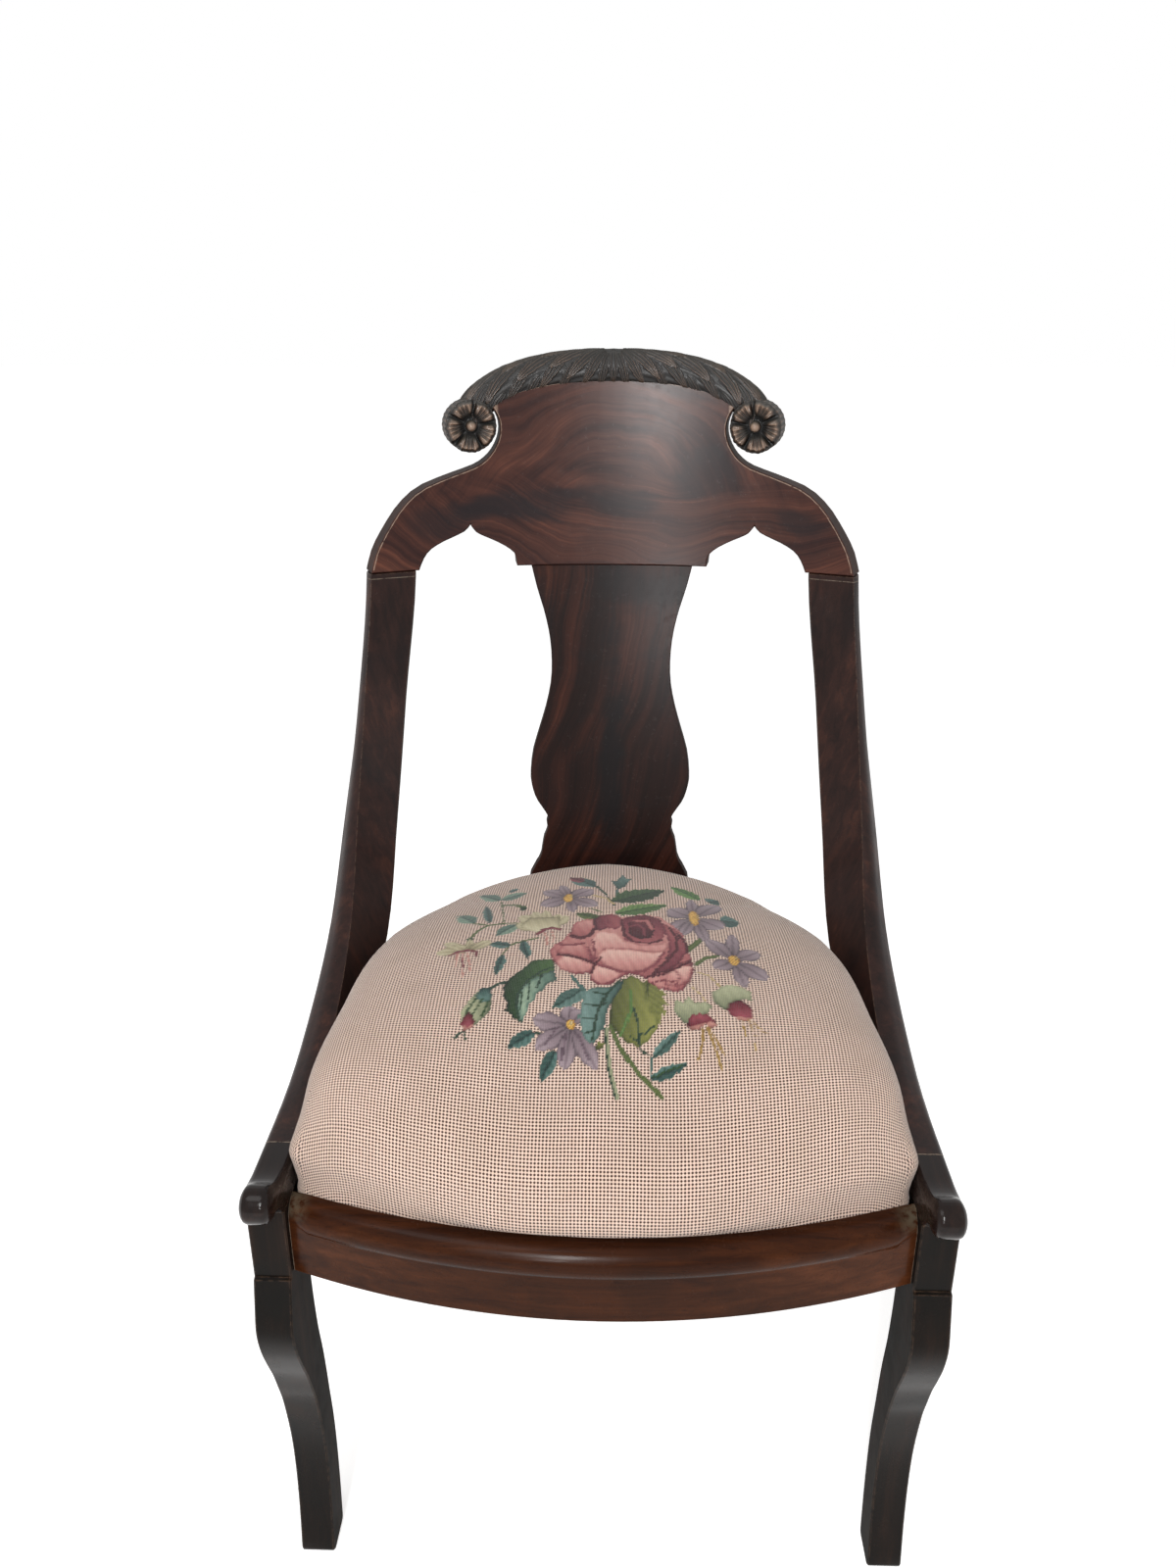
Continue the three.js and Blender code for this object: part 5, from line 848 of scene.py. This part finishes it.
wools = {  # light, middle and dark of each
    "fern": ("3f5a45", "253c2e", "15241c"), "teal": ("71928b", "405f58", "213533"), "moss": ("78854b", "505f34", "2b3820"),
    "pale": ("c1c19d", "949878", "545d46"), "straw": ("e7d39f", "b69d6b", "705c38"), "forest": ("4c6a3b", "2c4628", "14241a"),
    "spring": ("89a661", "55773e", "294224"), "grass": ("81a65c", "54803a", "2e4e24"), "mint": ("a5b99e", "678272", "364c45"),
    "cream": ("e2dbb8", "c1b592", "80775a"), "wine": ("a7545e", "742d38", "40151e"), "blush": ("e8b7a9", "c1877b", "7d4d48"),
    "violet": ("c1b1b6", "917f85", "574a51"), "plum": ("8e7683", "66545d", "3a2e35"), "gold": ("edbf64", "c39038", "754b1e"),
    "ochre": ("cdaf6a", "9d7c45", "5d4424"), "olive": ("959551", "686c38", "383e21"), "sea": ("7e9a93", "506d65", "283d37"),
    "rose": ("d9a096", "b26a69", "6c2f38"), "rosedark": ("a55c5e", "7f3a44", "4a1a25"), "roselight": ("efc6b8", "d2938b", "8e4c50"),
    "winedark": ("6d2c37", "4d1822", "340f18"),
}


def lineWork(spots, line, width):  # how far each stitch lies from a line, as a share of its half width
    line = np.array(line, float)
    nearest = np.full(len(spots), np.inf)
    for a, b in zip(line[:-1], line[1:]):
        way = b - a
        share = np.clip((spots - a) @ way / max(way @ way, 1e-6), 0, 1)
        nearest = np.minimum(nearest, np.linalg.norm(spots - a - share[:, None] * way, axis=1))
    return nearest / (width / 2)


def patchWork(spots, outline, darkX, darkY):
    outline = np.array(outline, float)
    inside = np.zeros(len(spots), bool)
    for a, b in zip(outline, np.roll(outline, -1, 0)):
        if a[1] == b[1]:
            continue
        over = (a[1] > spots[:, 1]) != (b[1] > spots[:, 1])
        inside ^= over & (spots[:, 0] < a[0] + (spots[:, 1] - a[1]) * (b[0] - a[0]) / (b[1] - a[1]))
    towards = outline @ [darkX, darkY]
    share = (spots @ [darkX, darkY] - towards.min()) / max(np.ptp(towards), 1e-6)
    rim = np.clip(1 - lineWork(spots, np.vstack([outline, outline[:1]]), 5.0), 0, 1)
    return inside, share * 0.8 + rim * 0.45 + 0.06 * np.sin(spots[:, 0] * 0.9 + spots[:, 1] * 0.35)


def bladeWork(spots, start, tip, width, teeth, petal):
    start, tip = np.array(start, float), np.array(tip, float)
    way = tip - start
    long_ = np.linalg.norm(way)
    way /= long_
    off = spots - start
    along = off @ way / long_
    side = off @ np.array([-way[1], way[0]])
    t = np.clip(along, 0, 1)
    bulge = np.sin(math.pi * t ** (1.35 if petal else 0.8)) ** (0.75 if petal else 0.9)
    if teeth:
        bulge = bulge * (0.72 + 0.28 * ((t * teeth + 0.3) % 1.0))
    reach = width / 2 * bulge
    inside = (along > -0.02) & (along < 1) & (np.abs(side) < reach + 0.35)
    across = np.abs(side) / np.maximum(reach, 0.5)
    if petal:
        share = 0.25 + 0.55 * (1 - t) + 0.35 * np.exp(-(side / 0.9) ** 2) + 0.45 * ease(0.7, 1.0, across)
    else:
        veins = 0.5 + 0.5 * np.cos((along * long_ - np.abs(side) * 0.8) * 1.3)
        share = np.where(side > 0, 0.25, 0.55) + 0.25 * veins * (across < 0.9) + 0.6 * np.exp(-(side / 0.8) ** 2)
    return inside, share


def paintedMotifs(u, v):
    stitch = needlework["pitch"] / 2
    spots = np.stack([(np.floor(u / stitch) + 0.5) * stitch, (np.floor(v / stitch) + 0.5) * stitch], 1)
    colours = np.zeros((len(u), 4))
    colours[:, :3] = tone(needlework["ground"])[:3]
    for kind, *work in bouquet:
        if kind == "stem":
            line, width, wool = work
            off = lineWork(spots, line, max(width * 1.15, 1.6))
            inside, share = off < 1, 0.3 + off * 0.4
        elif kind == "patch":
            outline, wool, darkX, darkY = work
            inside, share = patchWork(spots, outline, darkX, darkY)
        elif kind == "dot":
            middle, (wide, tall), wool = work
            off = np.hypot((spots[:, 0] - middle[0]) / wide, (spots[:, 1] - middle[1]) / tall)
            speck = np.sin(spots[:, 0] * 2.9) * np.sin(spots[:, 1] * 1.7)
            inside, share = off < 1, 0.1 + 0.5 * (speck > 0.25) + 0.45 * ease(0.75, 1.0, off)
        else:
            start, tip, width, wool = work[:4]
            inside, share = bladeWork(spots, start, tip, width, work[4] if kind == "leaf" else 0, kind == "petal")
        light, middle_, dark = (np.array(tone(code)[:3]) for code in wools[wool])
        share = np.clip(share[inside], 0, 1)[:, None]
        colours[inside, :3] = np.where(
            share < 0.5, light + (middle_ - light) * share * 2, middle_ + (dark - middle_) * (share * 2 - 1))
        colours[inside, 3] = 1
    return colours


cover = needleworkCover()
print("cushion made:", len(cover.data.polygons), "faces")


# The carved roll along the crest: overlapping leaves that sweep from the middle to the scrolls
carving = {
    "scrollX": 123.5, "scrollZ": 807, "radius": 21.5, "crest": 854.3, "depth": 9, "high": 15.6, "deep": 14.5,
    "path": [(0, 1), (0.28, 0.968), (0.56, 0.862), (0.79, 0.65), (0.945, 0.36), (1, 0.05)],
    "thick": [1, 0.99, 0.97, 0.95, 0.93, 0.85], "around": 176, "along": 580, "lift": 3.2,
}
back = {"base": 388, "height": 400, "lean": math.tan(math.radians(12)), "radius": 531}


def onBack(points):  # x across, depth behind the face and z up, bent to the hollow back
    x, depth, z = points.T
    turn = np.arcsin(x / back["radius"])
    face = back["base"] + (z - back["height"]) * back["lean"] - (back["radius"] - np.sqrt(back["radius"] ** 2 - x ** 2))
    return np.stack([x + depth * np.sin(turn), face + depth * np.cos(turn) - seatMiddle, z], 1)


sprays = [  # leaves of one half: root and tip as share along and turn round the roll, width in mm
    (0.84, 1.5, 1.16, 0.9, 15), (0.80, 2.4, 1.12, 2.0, 15), (0.76, 0.6, 1.06, -0.5, 13), (0.70, -0.4, 0.98, -1.5, 12),
    (0.60, 2.4, 0.92, 2.1, 15), (0.58, 1.7, 0.93, 1.0, 15), (0.54, 1.1, 0.86, 0.0, 14), (0.50, 0.5, 0.74, -0.9, 12),
    (0.46, -0.1, 0.62, -1.5, 11), (0.36, 2.4, 0.70, 2.2, 15), (0.34, 1.8, 0.68, 1.2, 15), (0.30, 1.3, 0.62, 0.3, 15),
    (0.27, 0.9, 0.50, -0.7, 13), (0.24, 0.4, 0.38, -1.4, 11), (0.10, 2.4, 0.44, 2.2, 15), (0.08, 2.0, 0.44, 1.4, 15),
    (0.06, 1.7, 0.40, 0.6, 15), (0.05, 1.4, 0.31, -0.2, 13), (0.04, 1.1, 0.22, -0.8, 12), (0.02, 0.9, 0.12, -1.3, 11),
    (0.0, 1.2, 0.0, -1.25, 11),
]


def leafRelief(s, turn):  # height of the carving at share s from the middle, and turn round the roll
    runAlong, runAround = 165.0, 14.4
    px, py = s * runAlong, turn * runAround
    height = 0.28 + 0.12 * np.cos(turn * 13 + s * 22)
    for start, turn0, tip, turn1, width in sprays:
        ax, ay = start * runAlong, turn0 * runAround
        bx, by = tip * runAlong, turn1 * runAround
        long_ = math.hypot(bx - ax, by - ay)
        wx, wy = (bx - ax) / long_, (by - ay) / long_
        along = ((px - ax) * wx + (py - ay) * wy) / long_
        side = (py - ay) * wx - (px - ax) * wy + 5.0 * np.clip(along, 0, 1) ** 2 * (0 if start == 0 else 1)
        t = np.clip(along, 0.001, 1)
        reach = width / 2 * np.sin(math.pi * t ** 0.75) ** 0.6 * (1 - 0.16 * ((t * 5) % 1.0))
        off = np.abs(side) / np.maximum(reach, 0.05)
        inside = (along > 0) & (along < 1) & (off < 1)
        spread = side / np.maximum(reach, 0.6)
        veins = 0.5 + 0.5 * np.cos(spread * 4 * math.pi + t * 3)
        rib = np.exp(-(side / 0.6) ** 2)
        curl = ease(0.55, 0.95, t) * 0.16
        top = 0.3 + 0.16 * t + curl + 0.46 * veins ** 2.4 - 0.2 * rib * (1 - t)
        top = top * (1 - ease(0.8, 1.0, off) * 0.45)
        height = np.where(inside, top, height)
    return np.clip(height / 1.15, 0, 1)


def splineLine(places, count):
    places = np.array(places, float)
    share = np.linspace(0, 1, count)
    return np.stack([throughPoints(places[:, 0], share), throughPoints(places[:, 1], share)], 1)


def carvedCrest():
    c = carving
    half = splineLine([(x * c["scrollX"], c["scrollZ"] + z * (c["crest"] - c["scrollZ"])) for x, z in c["path"]], 200)
    line = np.vstack([half[:0:-1] * [-1, 1], half])
    run = np.concatenate([[0], np.cumsum(np.linalg.norm(np.diff(line, axis=0), axis=1))])
    even = np.linspace(0, run[-1], c["along"] + 1)
    spots = np.stack([np.interp(even, run, line[:, k]) for k in (0, 1)], 1)
    way = np.gradient(spots, axis=0)
    way /= np.linalg.norm(way, axis=1, keepdims=True)
    t = np.linspace(-1, 1, c["along"] + 1)
    turn = np.linspace(-math.pi, math.pi, c["around"] + 1)[:-1]
    gt, gturn = np.meshgrid(t, turn, indexing="ij")
    relief = leafRelief(np.abs(gt), gturn)  # turn 0 faces the front, up is positive
    thick = throughPoints(c["thick"], np.abs(gt))
    calm = 1 - 0.88 * np.exp(-((gturn + 1.15) / 0.5) ** 2) - 0.45 * np.exp(-((gturn - 1.9) / 0.6) ** 2)
    grow = thick + (relief - 0.7) * calm * c["lift"] / c["high"]
    up = c["high"] * grow * np.sin(gturn)
    ahead = -c["deep"] * grow * np.cos(gturn)
    x = spots[:, 0:1] - way[:, 1:2] * up
    z = spots[:, 1:2] + way[:, 0:1] * up
    roll = np.stack([x, c["depth"] + ahead, z], -1).reshape(-1, 3)
    faces = [gridFaces(c["along"] + 1, c["around"], roundWays=True)]
    heights = [relief.ravel()]
    points = [roll]
    total = len(roll)
    for end, row in ((0, 0), (1, c["along"])):  # close the roll's ends, inside the drums
        middle = roll.reshape(c["along"] + 1, c["around"], 3)[row].mean(0)
        ring = row * c["around"] + np.arange(c["around"])
        after = np.roll(ring, -1)
        centre = np.full(c["around"], total)
        fan = np.stack([ring, after, centre, centre], 1)
        points.append(middle[None])
        heights.append(np.array([0.3]))
        total += 1
        faces.append(fan if end else fan[:, ::-1])
    for side in (-1, 1):
        drum, drumFaces, drumHeights = rosette(side)
        points.append(drum)
        faces.append(drumFaces + total)
        heights.append(drumHeights)
        total += len(drum)
    quads = np.vstack(faces)
    piece = triangleSafe(onBack(np.vstack(points)), quads, "carved_crest")
    high = piece.data.attributes.new("height", "FLOAT", "POINT")
    high.data.foreach_set("value", np.concatenate(heights).astype(np.float32))
    piece.data.materials.append(carvedMahogany())
    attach(piece, "chair_frame")
    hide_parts("crest_carving")
    return piece


def triangleSafe(points, faces, name):  # four-cornered faces, some with the last corner twice
    mesh = bpy.data.meshes.new(name)
    lists = [face[:3] if face[2] == face[3] else face for face in faces.tolist()]
    lists = [face[1:] if len(face) == 4 and face[0] == face[1] else face for face in lists]
    mesh.from_pydata((np.asarray(points) * mm).tolist(), [], lists)
    mesh.polygons.foreach_set("use_smooth", np.full(len(mesh.polygons), True))
    mesh.update()
    piece = bpy.data.objects.new(name, mesh)
    bpy.context.scene.collection.objects.link(piece)
    return piece


flower = {"front": -10, "back": 25, "petals": 5, "bead": 4.9, "rings": 56, "spokes": 200, "deep": 8.5}


def rosette(side):
    c, f = carving, flower
    radius = c["radius"]
    spokes = np.linspace(0, 2 * math.pi, f["spokes"] + 1)[:-1]
    shares = np.concatenate([np.linspace(0.02, 1, f["rings"]), [1.02, 1.0, 0.99, 0.98, 0.97, 0.9]])
    g, a = np.meshgrid(shares, spokes, indexing="ij")
    inPetal = np.abs(np.cos(a * f["petals"] / 2 + 0.4))
    r = np.minimum(g, 1.0)
    bead = f["bead"] / radius
    petalRise = ease(bead * 1.1, 0.66, r) * (1 - ease(0.84, 1.0, r) * 0.6)
    crease = ease(0.05, 0.5, inPetal)
    cup = 1 - 0.35 * np.exp(-((r - 0.62) / 0.16) ** 2) * ease(0.5, 0.95, inPetal)
    veins = 0.5 + 0.5 * np.cos(a * f["petals"] * 6 + 2 * r)
    height = 0.12 + 0.68 * petalRise * crease * cup + 0.16 * veins * petalRise
    height = np.where(r < bead, 0.3 + 0.7 * np.sqrt(np.clip(1 - (r / bead) ** 2, 0, 1)), height)
    height = np.where((r >= bead) & (r < bead * 1.2), 0.02, height)
    depth = f["front"] + (1 - height) * f["deep"]
    ragged = 0.02 * np.sin(a * 11 + side) + 0.015 * np.sin(a * 23)
    scallop = 1 - (0.1 * (1 - inPetal) ** 2 + ragged) * ease(0.6, 1.0, r)
    out = g * radius * scallop
    last = len(shares) - f["rings"]
    behind = np.linspace(0, 1, last)
    flutes = 0.5 + 0.5 * np.cos(a * 30)
    for k in range(last):
        row = f["rings"] + k
        depth[row] = depth[f["rings"] - 1] * (1 - behind[k]) + (f["back"]) * behind[k]
        out[row] = radius * (1 + 0.015 * flutes[row]) * (1.0 if k < last - 1 else 0.88)
        height[row] = 0.45 + 0.3 * flutes[row]
    x = side * (c["scrollX"] + out * np.cos(a))
    z = c["scrollZ"] + out * np.sin(a)
    points = np.stack([x, depth, z], -1).reshape(-1, 3)
    rows = len(shares)
    faces = gridFaces(rows, f["spokes"], roundWays=True, flip=side < 0)
    front = np.array([[side * c["scrollX"], f["front"] + 0.3, c["scrollZ"]]])
    rear = np.array([[side * c["scrollX"], f["back"], c["scrollZ"]]])
    total = len(points)
    ring = np.arange(f["spokes"])
    after = np.roll(ring, -1)
    end = ring + (rows - 1) * f["spokes"]
    endAfter = after + (rows - 1) * f["spokes"]
    middle = np.full(f["spokes"], total)
    cap = np.stack([after, ring, middle, middle], 1)
    endCap = np.stack([end, endAfter, middle + 1, middle + 1], 1)
    if side < 0:
        cap = np.stack([ring, after, middle, middle], 1)
        endCap = np.stack([endAfter, end, middle + 1, middle + 1], 1)
    heights = np.concatenate([height.ravel(), [0.95, 0.3]])
    return np.vstack([points, front, rear]), np.vstack([faces, cap, endCap]), np.clip(heights, 0, 1)


crest = carvedCrest()
print("crest carved:", len(crest.data.polygons), "faces")


# Crest rail and splat: the frame's own plates, with the hollow back drawn in fine strips
hollow = {"strip": 4.0, "rise": 9.0, "half": 220, "low": 340, "high": 860, "round": 6.0, "beyond": 172, "above": 735, "joint": 685.5}


def finelyBent(name, newName, rounded=False):
    shape = bmesh.new()
    shape.from_mesh(nodes[name].data)
    bmesh.ops.remove_doubles(shape, verts=shape.verts, dist=0.01 * mm)
    radius = back["radius"]
    for vert in shape.verts:  # unbent: across, behind the face, up
        x, y, z = (value / mm for value in vert.co)
        centre = back["base"] + (z - back["height"]) * back["lean"] - radius - seatMiddle
        away = math.hypot(x, y - centre)
        vert.co = (radius * x / away * mm, (away - radius) * mm, z * mm)
    bmesh.ops.dissolve_limit(shape, angle_limit=math.radians(0.5), verts=shape.verts, edges=shape.edges)
    line = shape.verts.layers.float.new("line")
    if rounded:
        outer = []
        for edge in shape.edges:
            ends = [vert.co / mm for vert in edge.verts]
            middle = (ends[0] + ends[1]) / 2
            onFace = max(abs(end.y) for end in ends) < 0.05
            outside = (abs(middle.x) > hollow["beyond"] or middle.z > hollow["above"]) and middle.z > hollow["joint"]
            if onFace and outside and len(edge.link_faces) == 2 and edge.calc_face_angle(0) > 1:
                outer.append(edge)
        bmesh.ops.bevel(shape, geom=outer, offset=hollow["round"] * mm, segments=5, profile=0.5, affect="EDGES",
                        clamp_overlap=False)
    for axis, low, high, step in ((0, -hollow["half"], hollow["half"], hollow["strip"]),
                                  (2, hollow["low"], hollow["high"], hollow["rise"])):
        direction = Vector((axis == 0, 0, axis == 2))
        for k in np.arange(low, high + 1, step):
            every = list(shape.verts) + list(shape.edges) + list(shape.faces)
            bmesh.ops.bisect_plane(shape, geom=every, dist=0.005 * mm, plane_co=direction * float(k) * mm, plane_no=direction)
    shape.normal_update()
    rim = KDTree(len(shape.verts))
    ends = 0
    for vert in shape.verts:  # the veneer ends where the rounding starts
        tilts = [-face.normal.y for face in vert.link_faces]
        outside = (abs(vert.co.x) / mm > hollow["beyond"] or vert.co.z / mm > hollow["above"]) and vert.co.z > 690 * mm
        if outside and abs(vert.co.y) < 0.02 * mm and max(tilts) > 0.999 and any(0.3 < tilt < 0.999 for tilt in tilts):
            rim.insert(vert.co, ends)
            ends += 1
    rim.balance()
    for vert in shape.verts:
        vert[line] = rim.find(vert.co)[2] / mm if ends else 50
    flat = np.array([vert.co[:] for vert in shape.verts]) / mm
    for vert, spot in zip(shape.verts, onBack(flat)):
        vert.co = Vector(spot) * mm
    mesh = bpy.data.meshes.new(newName)
    shape.to_mesh(mesh)
    shape.free()
    piece = bpy.data.objects.new(newName, mesh)
    bpy.context.scene.collection.objects.link(piece)
    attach(piece, "chair_frame")
    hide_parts(name)
    return piece


# Finishes of the pieces that keep their own shape
darkUp = polishedMahogany("dark mahogany upright", "z", stileLook)
darkAcross = polishedMahogany("dark mahogany across", "x", darkLook)
darkDeep = polishedMahogany("dark mahogany front to back", "y", darkLook)
armWood = polishedMahogany("arm end mahogany", "y", armLook)
blackUp = polishedMahogany("black mahogany upright", "z", blackLook)
finishes = {
    "crest_rail": crotchVeneer("crest veneer", crestLook),
    "splat": crotchVeneer("splat veneer", splatLook),
    "stile": darkUp, "arm_end": armWood, "front_leg": blackUp, "rear_leg": blackUp,
    "front_rail": polishedMahogany("front rail mahogany", "x", railLook), "side_rail": darkDeep, "rear_rail": darkAcross,
}
bare = innerWood()
jute = juteWebbing()
rounding = {"crest_rail": 0.5, "splat": 0.5, "stile": 1.5, "arm_end": 0.6, "front_rail": 0.6, "front_leg": 2.0}


def dress(piece, material, width):
    piece.data.materials.clear()
    piece.data.materials.append(material)
    piece.data.polygons.foreach_set("use_smooth", np.full(len(piece.data.polygons), True))
    weld = piece.modifiers.new("weld", "WELD")
    weld.merge_threshold = 0.00002
    soft = piece.modifiers.new("arris", "BEVEL")
    soft.width = width * mm
    soft.segments = 2
    soft.limit_method = "ANGLE"
    soft.angle_limit = math.radians(34)
    soft.use_clamp_overlap = True
    split = piece.modifiers.new("corners", "EDGE_SPLIT")
    split.split_angle = math.radians(46)
    split.use_edge_sharp = False
    shading = piece.modifiers.new("flats", "WEIGHTED_NORMAL")
    shading.keep_sharp = True


roll = {"flat": 0.3, "end": 0.62, "power": 2.8, "slice": 1.2, "neck": (2, 17)}


def rolledEnd(name, newName):  # the end of the arm, its roll pillowed towards both sides
    shape = bmesh.new()
    shape.from_mesh(nodes[name].data)
    bmesh.ops.remove_doubles(shape, verts=shape.verts, dist=0.01 * mm)
    bmesh.ops.dissolve_limit(shape, angle_limit=math.radians(0.5), verts=shape.verts, edges=shape.edges)
    front = min(vert.co.y for vert in shape.verts)
    head = [vert.co for vert in shape.verts if vert.co.y < front + 12 * mm]
    low, high = min(p.z for p in head), max(p.z for p in head)
    inner, outer = min(abs(p.x) for p in head), max(abs(p.x) for p in head)
    centreY, centreZ = front + (high - low) / 2, (high + low) / 2
    side = 1 if head[0].x > 0 else -1
    for k in np.arange(inner + roll["slice"] * mm, outer, roll["slice"] * mm):
        every = list(shape.verts) + list(shape.edges) + list(shape.faces)
        bmesh.ops.bisect_plane(shape, geom=every, dist=0.005 * mm, plane_co=(side * k, 0, 0), plane_no=(1, 0, 0))
    for k in np.arange(-2, 18, 2.5):
        every = list(shape.verts) + list(shape.edges) + list(shape.faces)
        bmesh.ops.bisect_plane(shape, geom=every, dist=0.005 * mm, plane_co=(0, centreY + k * mm, 0), plane_no=(0, 1, 0))
    for vert in shape.verts:
        off = abs(abs(vert.co.x) - (inner + outer) / 2) / ((outer - inner) / 2)
        past = min(1, max(0, (off - roll["flat"]) / (1 - roll["flat"])))
        share = 1 - (1 - roll["end"]) * past ** roll["power"]
        start, stop = (centreY / mm + reach for reach in roll["neck"])
        share = 1 + (share - 1) * (1 - float(ease(start, stop, vert.co.y / mm)))
        vert.co.y = centreY + (vert.co.y - centreY) * share
        vert.co.z = centreZ + (vert.co.z - centreZ) * share
    mesh = bpy.data.meshes.new(newName)
    shape.to_mesh(mesh)
    shape.free()
    piece = bpy.data.objects.new(newName, mesh)
    bpy.context.scene.collection.objects.link(piece)
    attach(piece, "chair_frame")
    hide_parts(name)
    return piece


rebuilt = ("seat_pad", "seat_cover", "crest_carving", "crest_rail", "splat", "arm_end_right", "arm_end_left")
for side in ("right", "left"):
    dress(rolledEnd("arm_end_" + side, "rolled_end_" + side), finishes["arm_end"], rounding["arm_end"])
for name in ("crest_rail", "splat"):
    dress(finelyBent(name, "veneered_" + name, name == "crest_rail"), finishes[name], rounding[name])
for name, piece in nodes.items():
    kind = name.replace("_right", "").replace("_left", "")
    if name in rebuilt:
        continue
    if name.startswith("webbing"):
        dress(piece, jute, 0.3)
    elif kind in finishes:
        dress(piece, finishes[kind], rounding.get(kind, 0.8))
    else:
        dress(piece, bare, 0.5)
print("wood finished")

# Floor, light and camera
studio = {"world": 0.42, "key": 14, "fill": 3, "strip": 34, "lowStrip": 7, "panel": 14, "floor": "f7f6f5", "floorGlow": 0.62}


def studioFloor():
    bpy.ops.mesh.primitive_plane_add(size=40, location=(0, 0, -0.0006))
    floor = bpy.context.object
    floor.name = "studio_floor"
    paint = Paint("studio floor", **{"Specular IOR Level": 0.1, "Roughness": 0.9})
    x, y, z = paint.place()
    shade = paint.noise(paint.point(x, y, z), 0.004, 2, 0.5)
    paint.finish(paint.blend(shade * 0.1, tone(studio["floor"]), tone("ffffff")), 0.9)
    path = paint.node("LightPath")
    seen = Field(paint, path.outputs["Is Camera Ray"]).most(Field(paint, path.outputs["Is Glossy Ray"]))
    seen = seen.most(Field(paint, path.outputs["Is Transmission Ray"]))
    paint.feed(paint.shader.inputs["Emission Color"], tone("ffffff"))
    glow = paint.node("Emission", {}, {"Color": tone("ffffff"), "Strength": studio["floorGlow"]})
    dark = paint.node("Emission", {}, {"Strength": 0.0})
    lit = paint.node("MixShader", {}, {0: seen, 1: dark.outputs[0], 2: glow.outputs[0]})
    both = paint.node("AddShader", {}, {0: paint.shader.outputs[0], 1: lit.outputs[0]})
    paint.feed(paint.out.inputs["Surface"], both.outputs[0])
    floor.data.materials.append(paint.material)


def softLight(name, place, aim, size, power):
    data = bpy.data.lights.new(name, "AREA")
    data.shape = "RECTANGLE"
    data.size, data.size_y = size
    data.energy = power
    light = bpy.data.objects.new(name, data)
    light.location = place
    light.rotation_euler = (Vector(aim) - Vector(place)).to_track_quat("-Z", "Y").to_euler()
    bpy.context.scene.collection.objects.link(light)


studioFloor()
softLight("key", (-0.9, -1.1, 3.0), (0, 0, 0.45), (1.2, 1.2), studio["key"])
softLight("fill", (2.2, -1.2, 1.9), (0, 0, 0.5), (1.6, 1.6), studio["fill"])
softLight("strip", (-0.28, -2.35, 2.05), (0.0, 0.2, 0.75), (0.2, 0.9), studio["strip"])
softLight("low strip", (-0.33, -2.35, 1.12), (0.0, 0.2, 0.6), (0.16, 0.3), studio["lowStrip"])
softLight("panel", (-0.42, -2.45, 2.25), (0.0, 0.2, 0.75), (0.7, 0.8), studio["panel"])

scene = bpy.context.scene
scene.view_settings.view_transform = "Standard"
world = bpy.data.worlds.new("studio")
scene.world = world
world.use_nodes = True
tree = world.node_tree
tree.nodes.clear()
path = tree.nodes.new("ShaderNodeLightPath")
seen = tree.nodes.new("ShaderNodeMath")
seen.operation = "MAXIMUM"
tree.links.new(path.outputs["Is Camera Ray"], seen.inputs[0])
tree.links.new(path.outputs["Is Glossy Ray"], seen.inputs[1])
seen2 = tree.nodes.new("ShaderNodeMath")
seen2.operation = "MAXIMUM"
tree.links.new(seen.outputs[0], seen2.inputs[0])
tree.links.new(path.outputs["Is Transmission Ray"], seen2.inputs[1])
strength = tree.nodes.new("ShaderNodeMapRange")
strength.inputs["To Min"].default_value = studio["world"]
strength.inputs["To Max"].default_value = 1.0
tree.links.new(seen2.outputs[0], strength.inputs["Value"])
sky = tree.nodes.new("ShaderNodeBackground")
sky.inputs["Color"].default_value = (1, 1, 1, 1)
tree.links.new(strength.outputs[0], sky.inputs["Strength"])
out = tree.nodes.new("ShaderNodeOutputWorld")
tree.links.new(sky.outputs[0], out.inputs["Surface"])

lens = bpy.data.cameras.new("camera")
lens.lens = 27
lens.sensor_width = 36
camera = bpy.data.objects.new("camera", lens)
camera.location = (0.0092, -0.83775, 0.901)
camera.rotation_euler = (math.radians(90 - 22), 0, math.radians(1.66))
scene.collection.objects.link(camera)
scene.camera = camera
print("studio set")
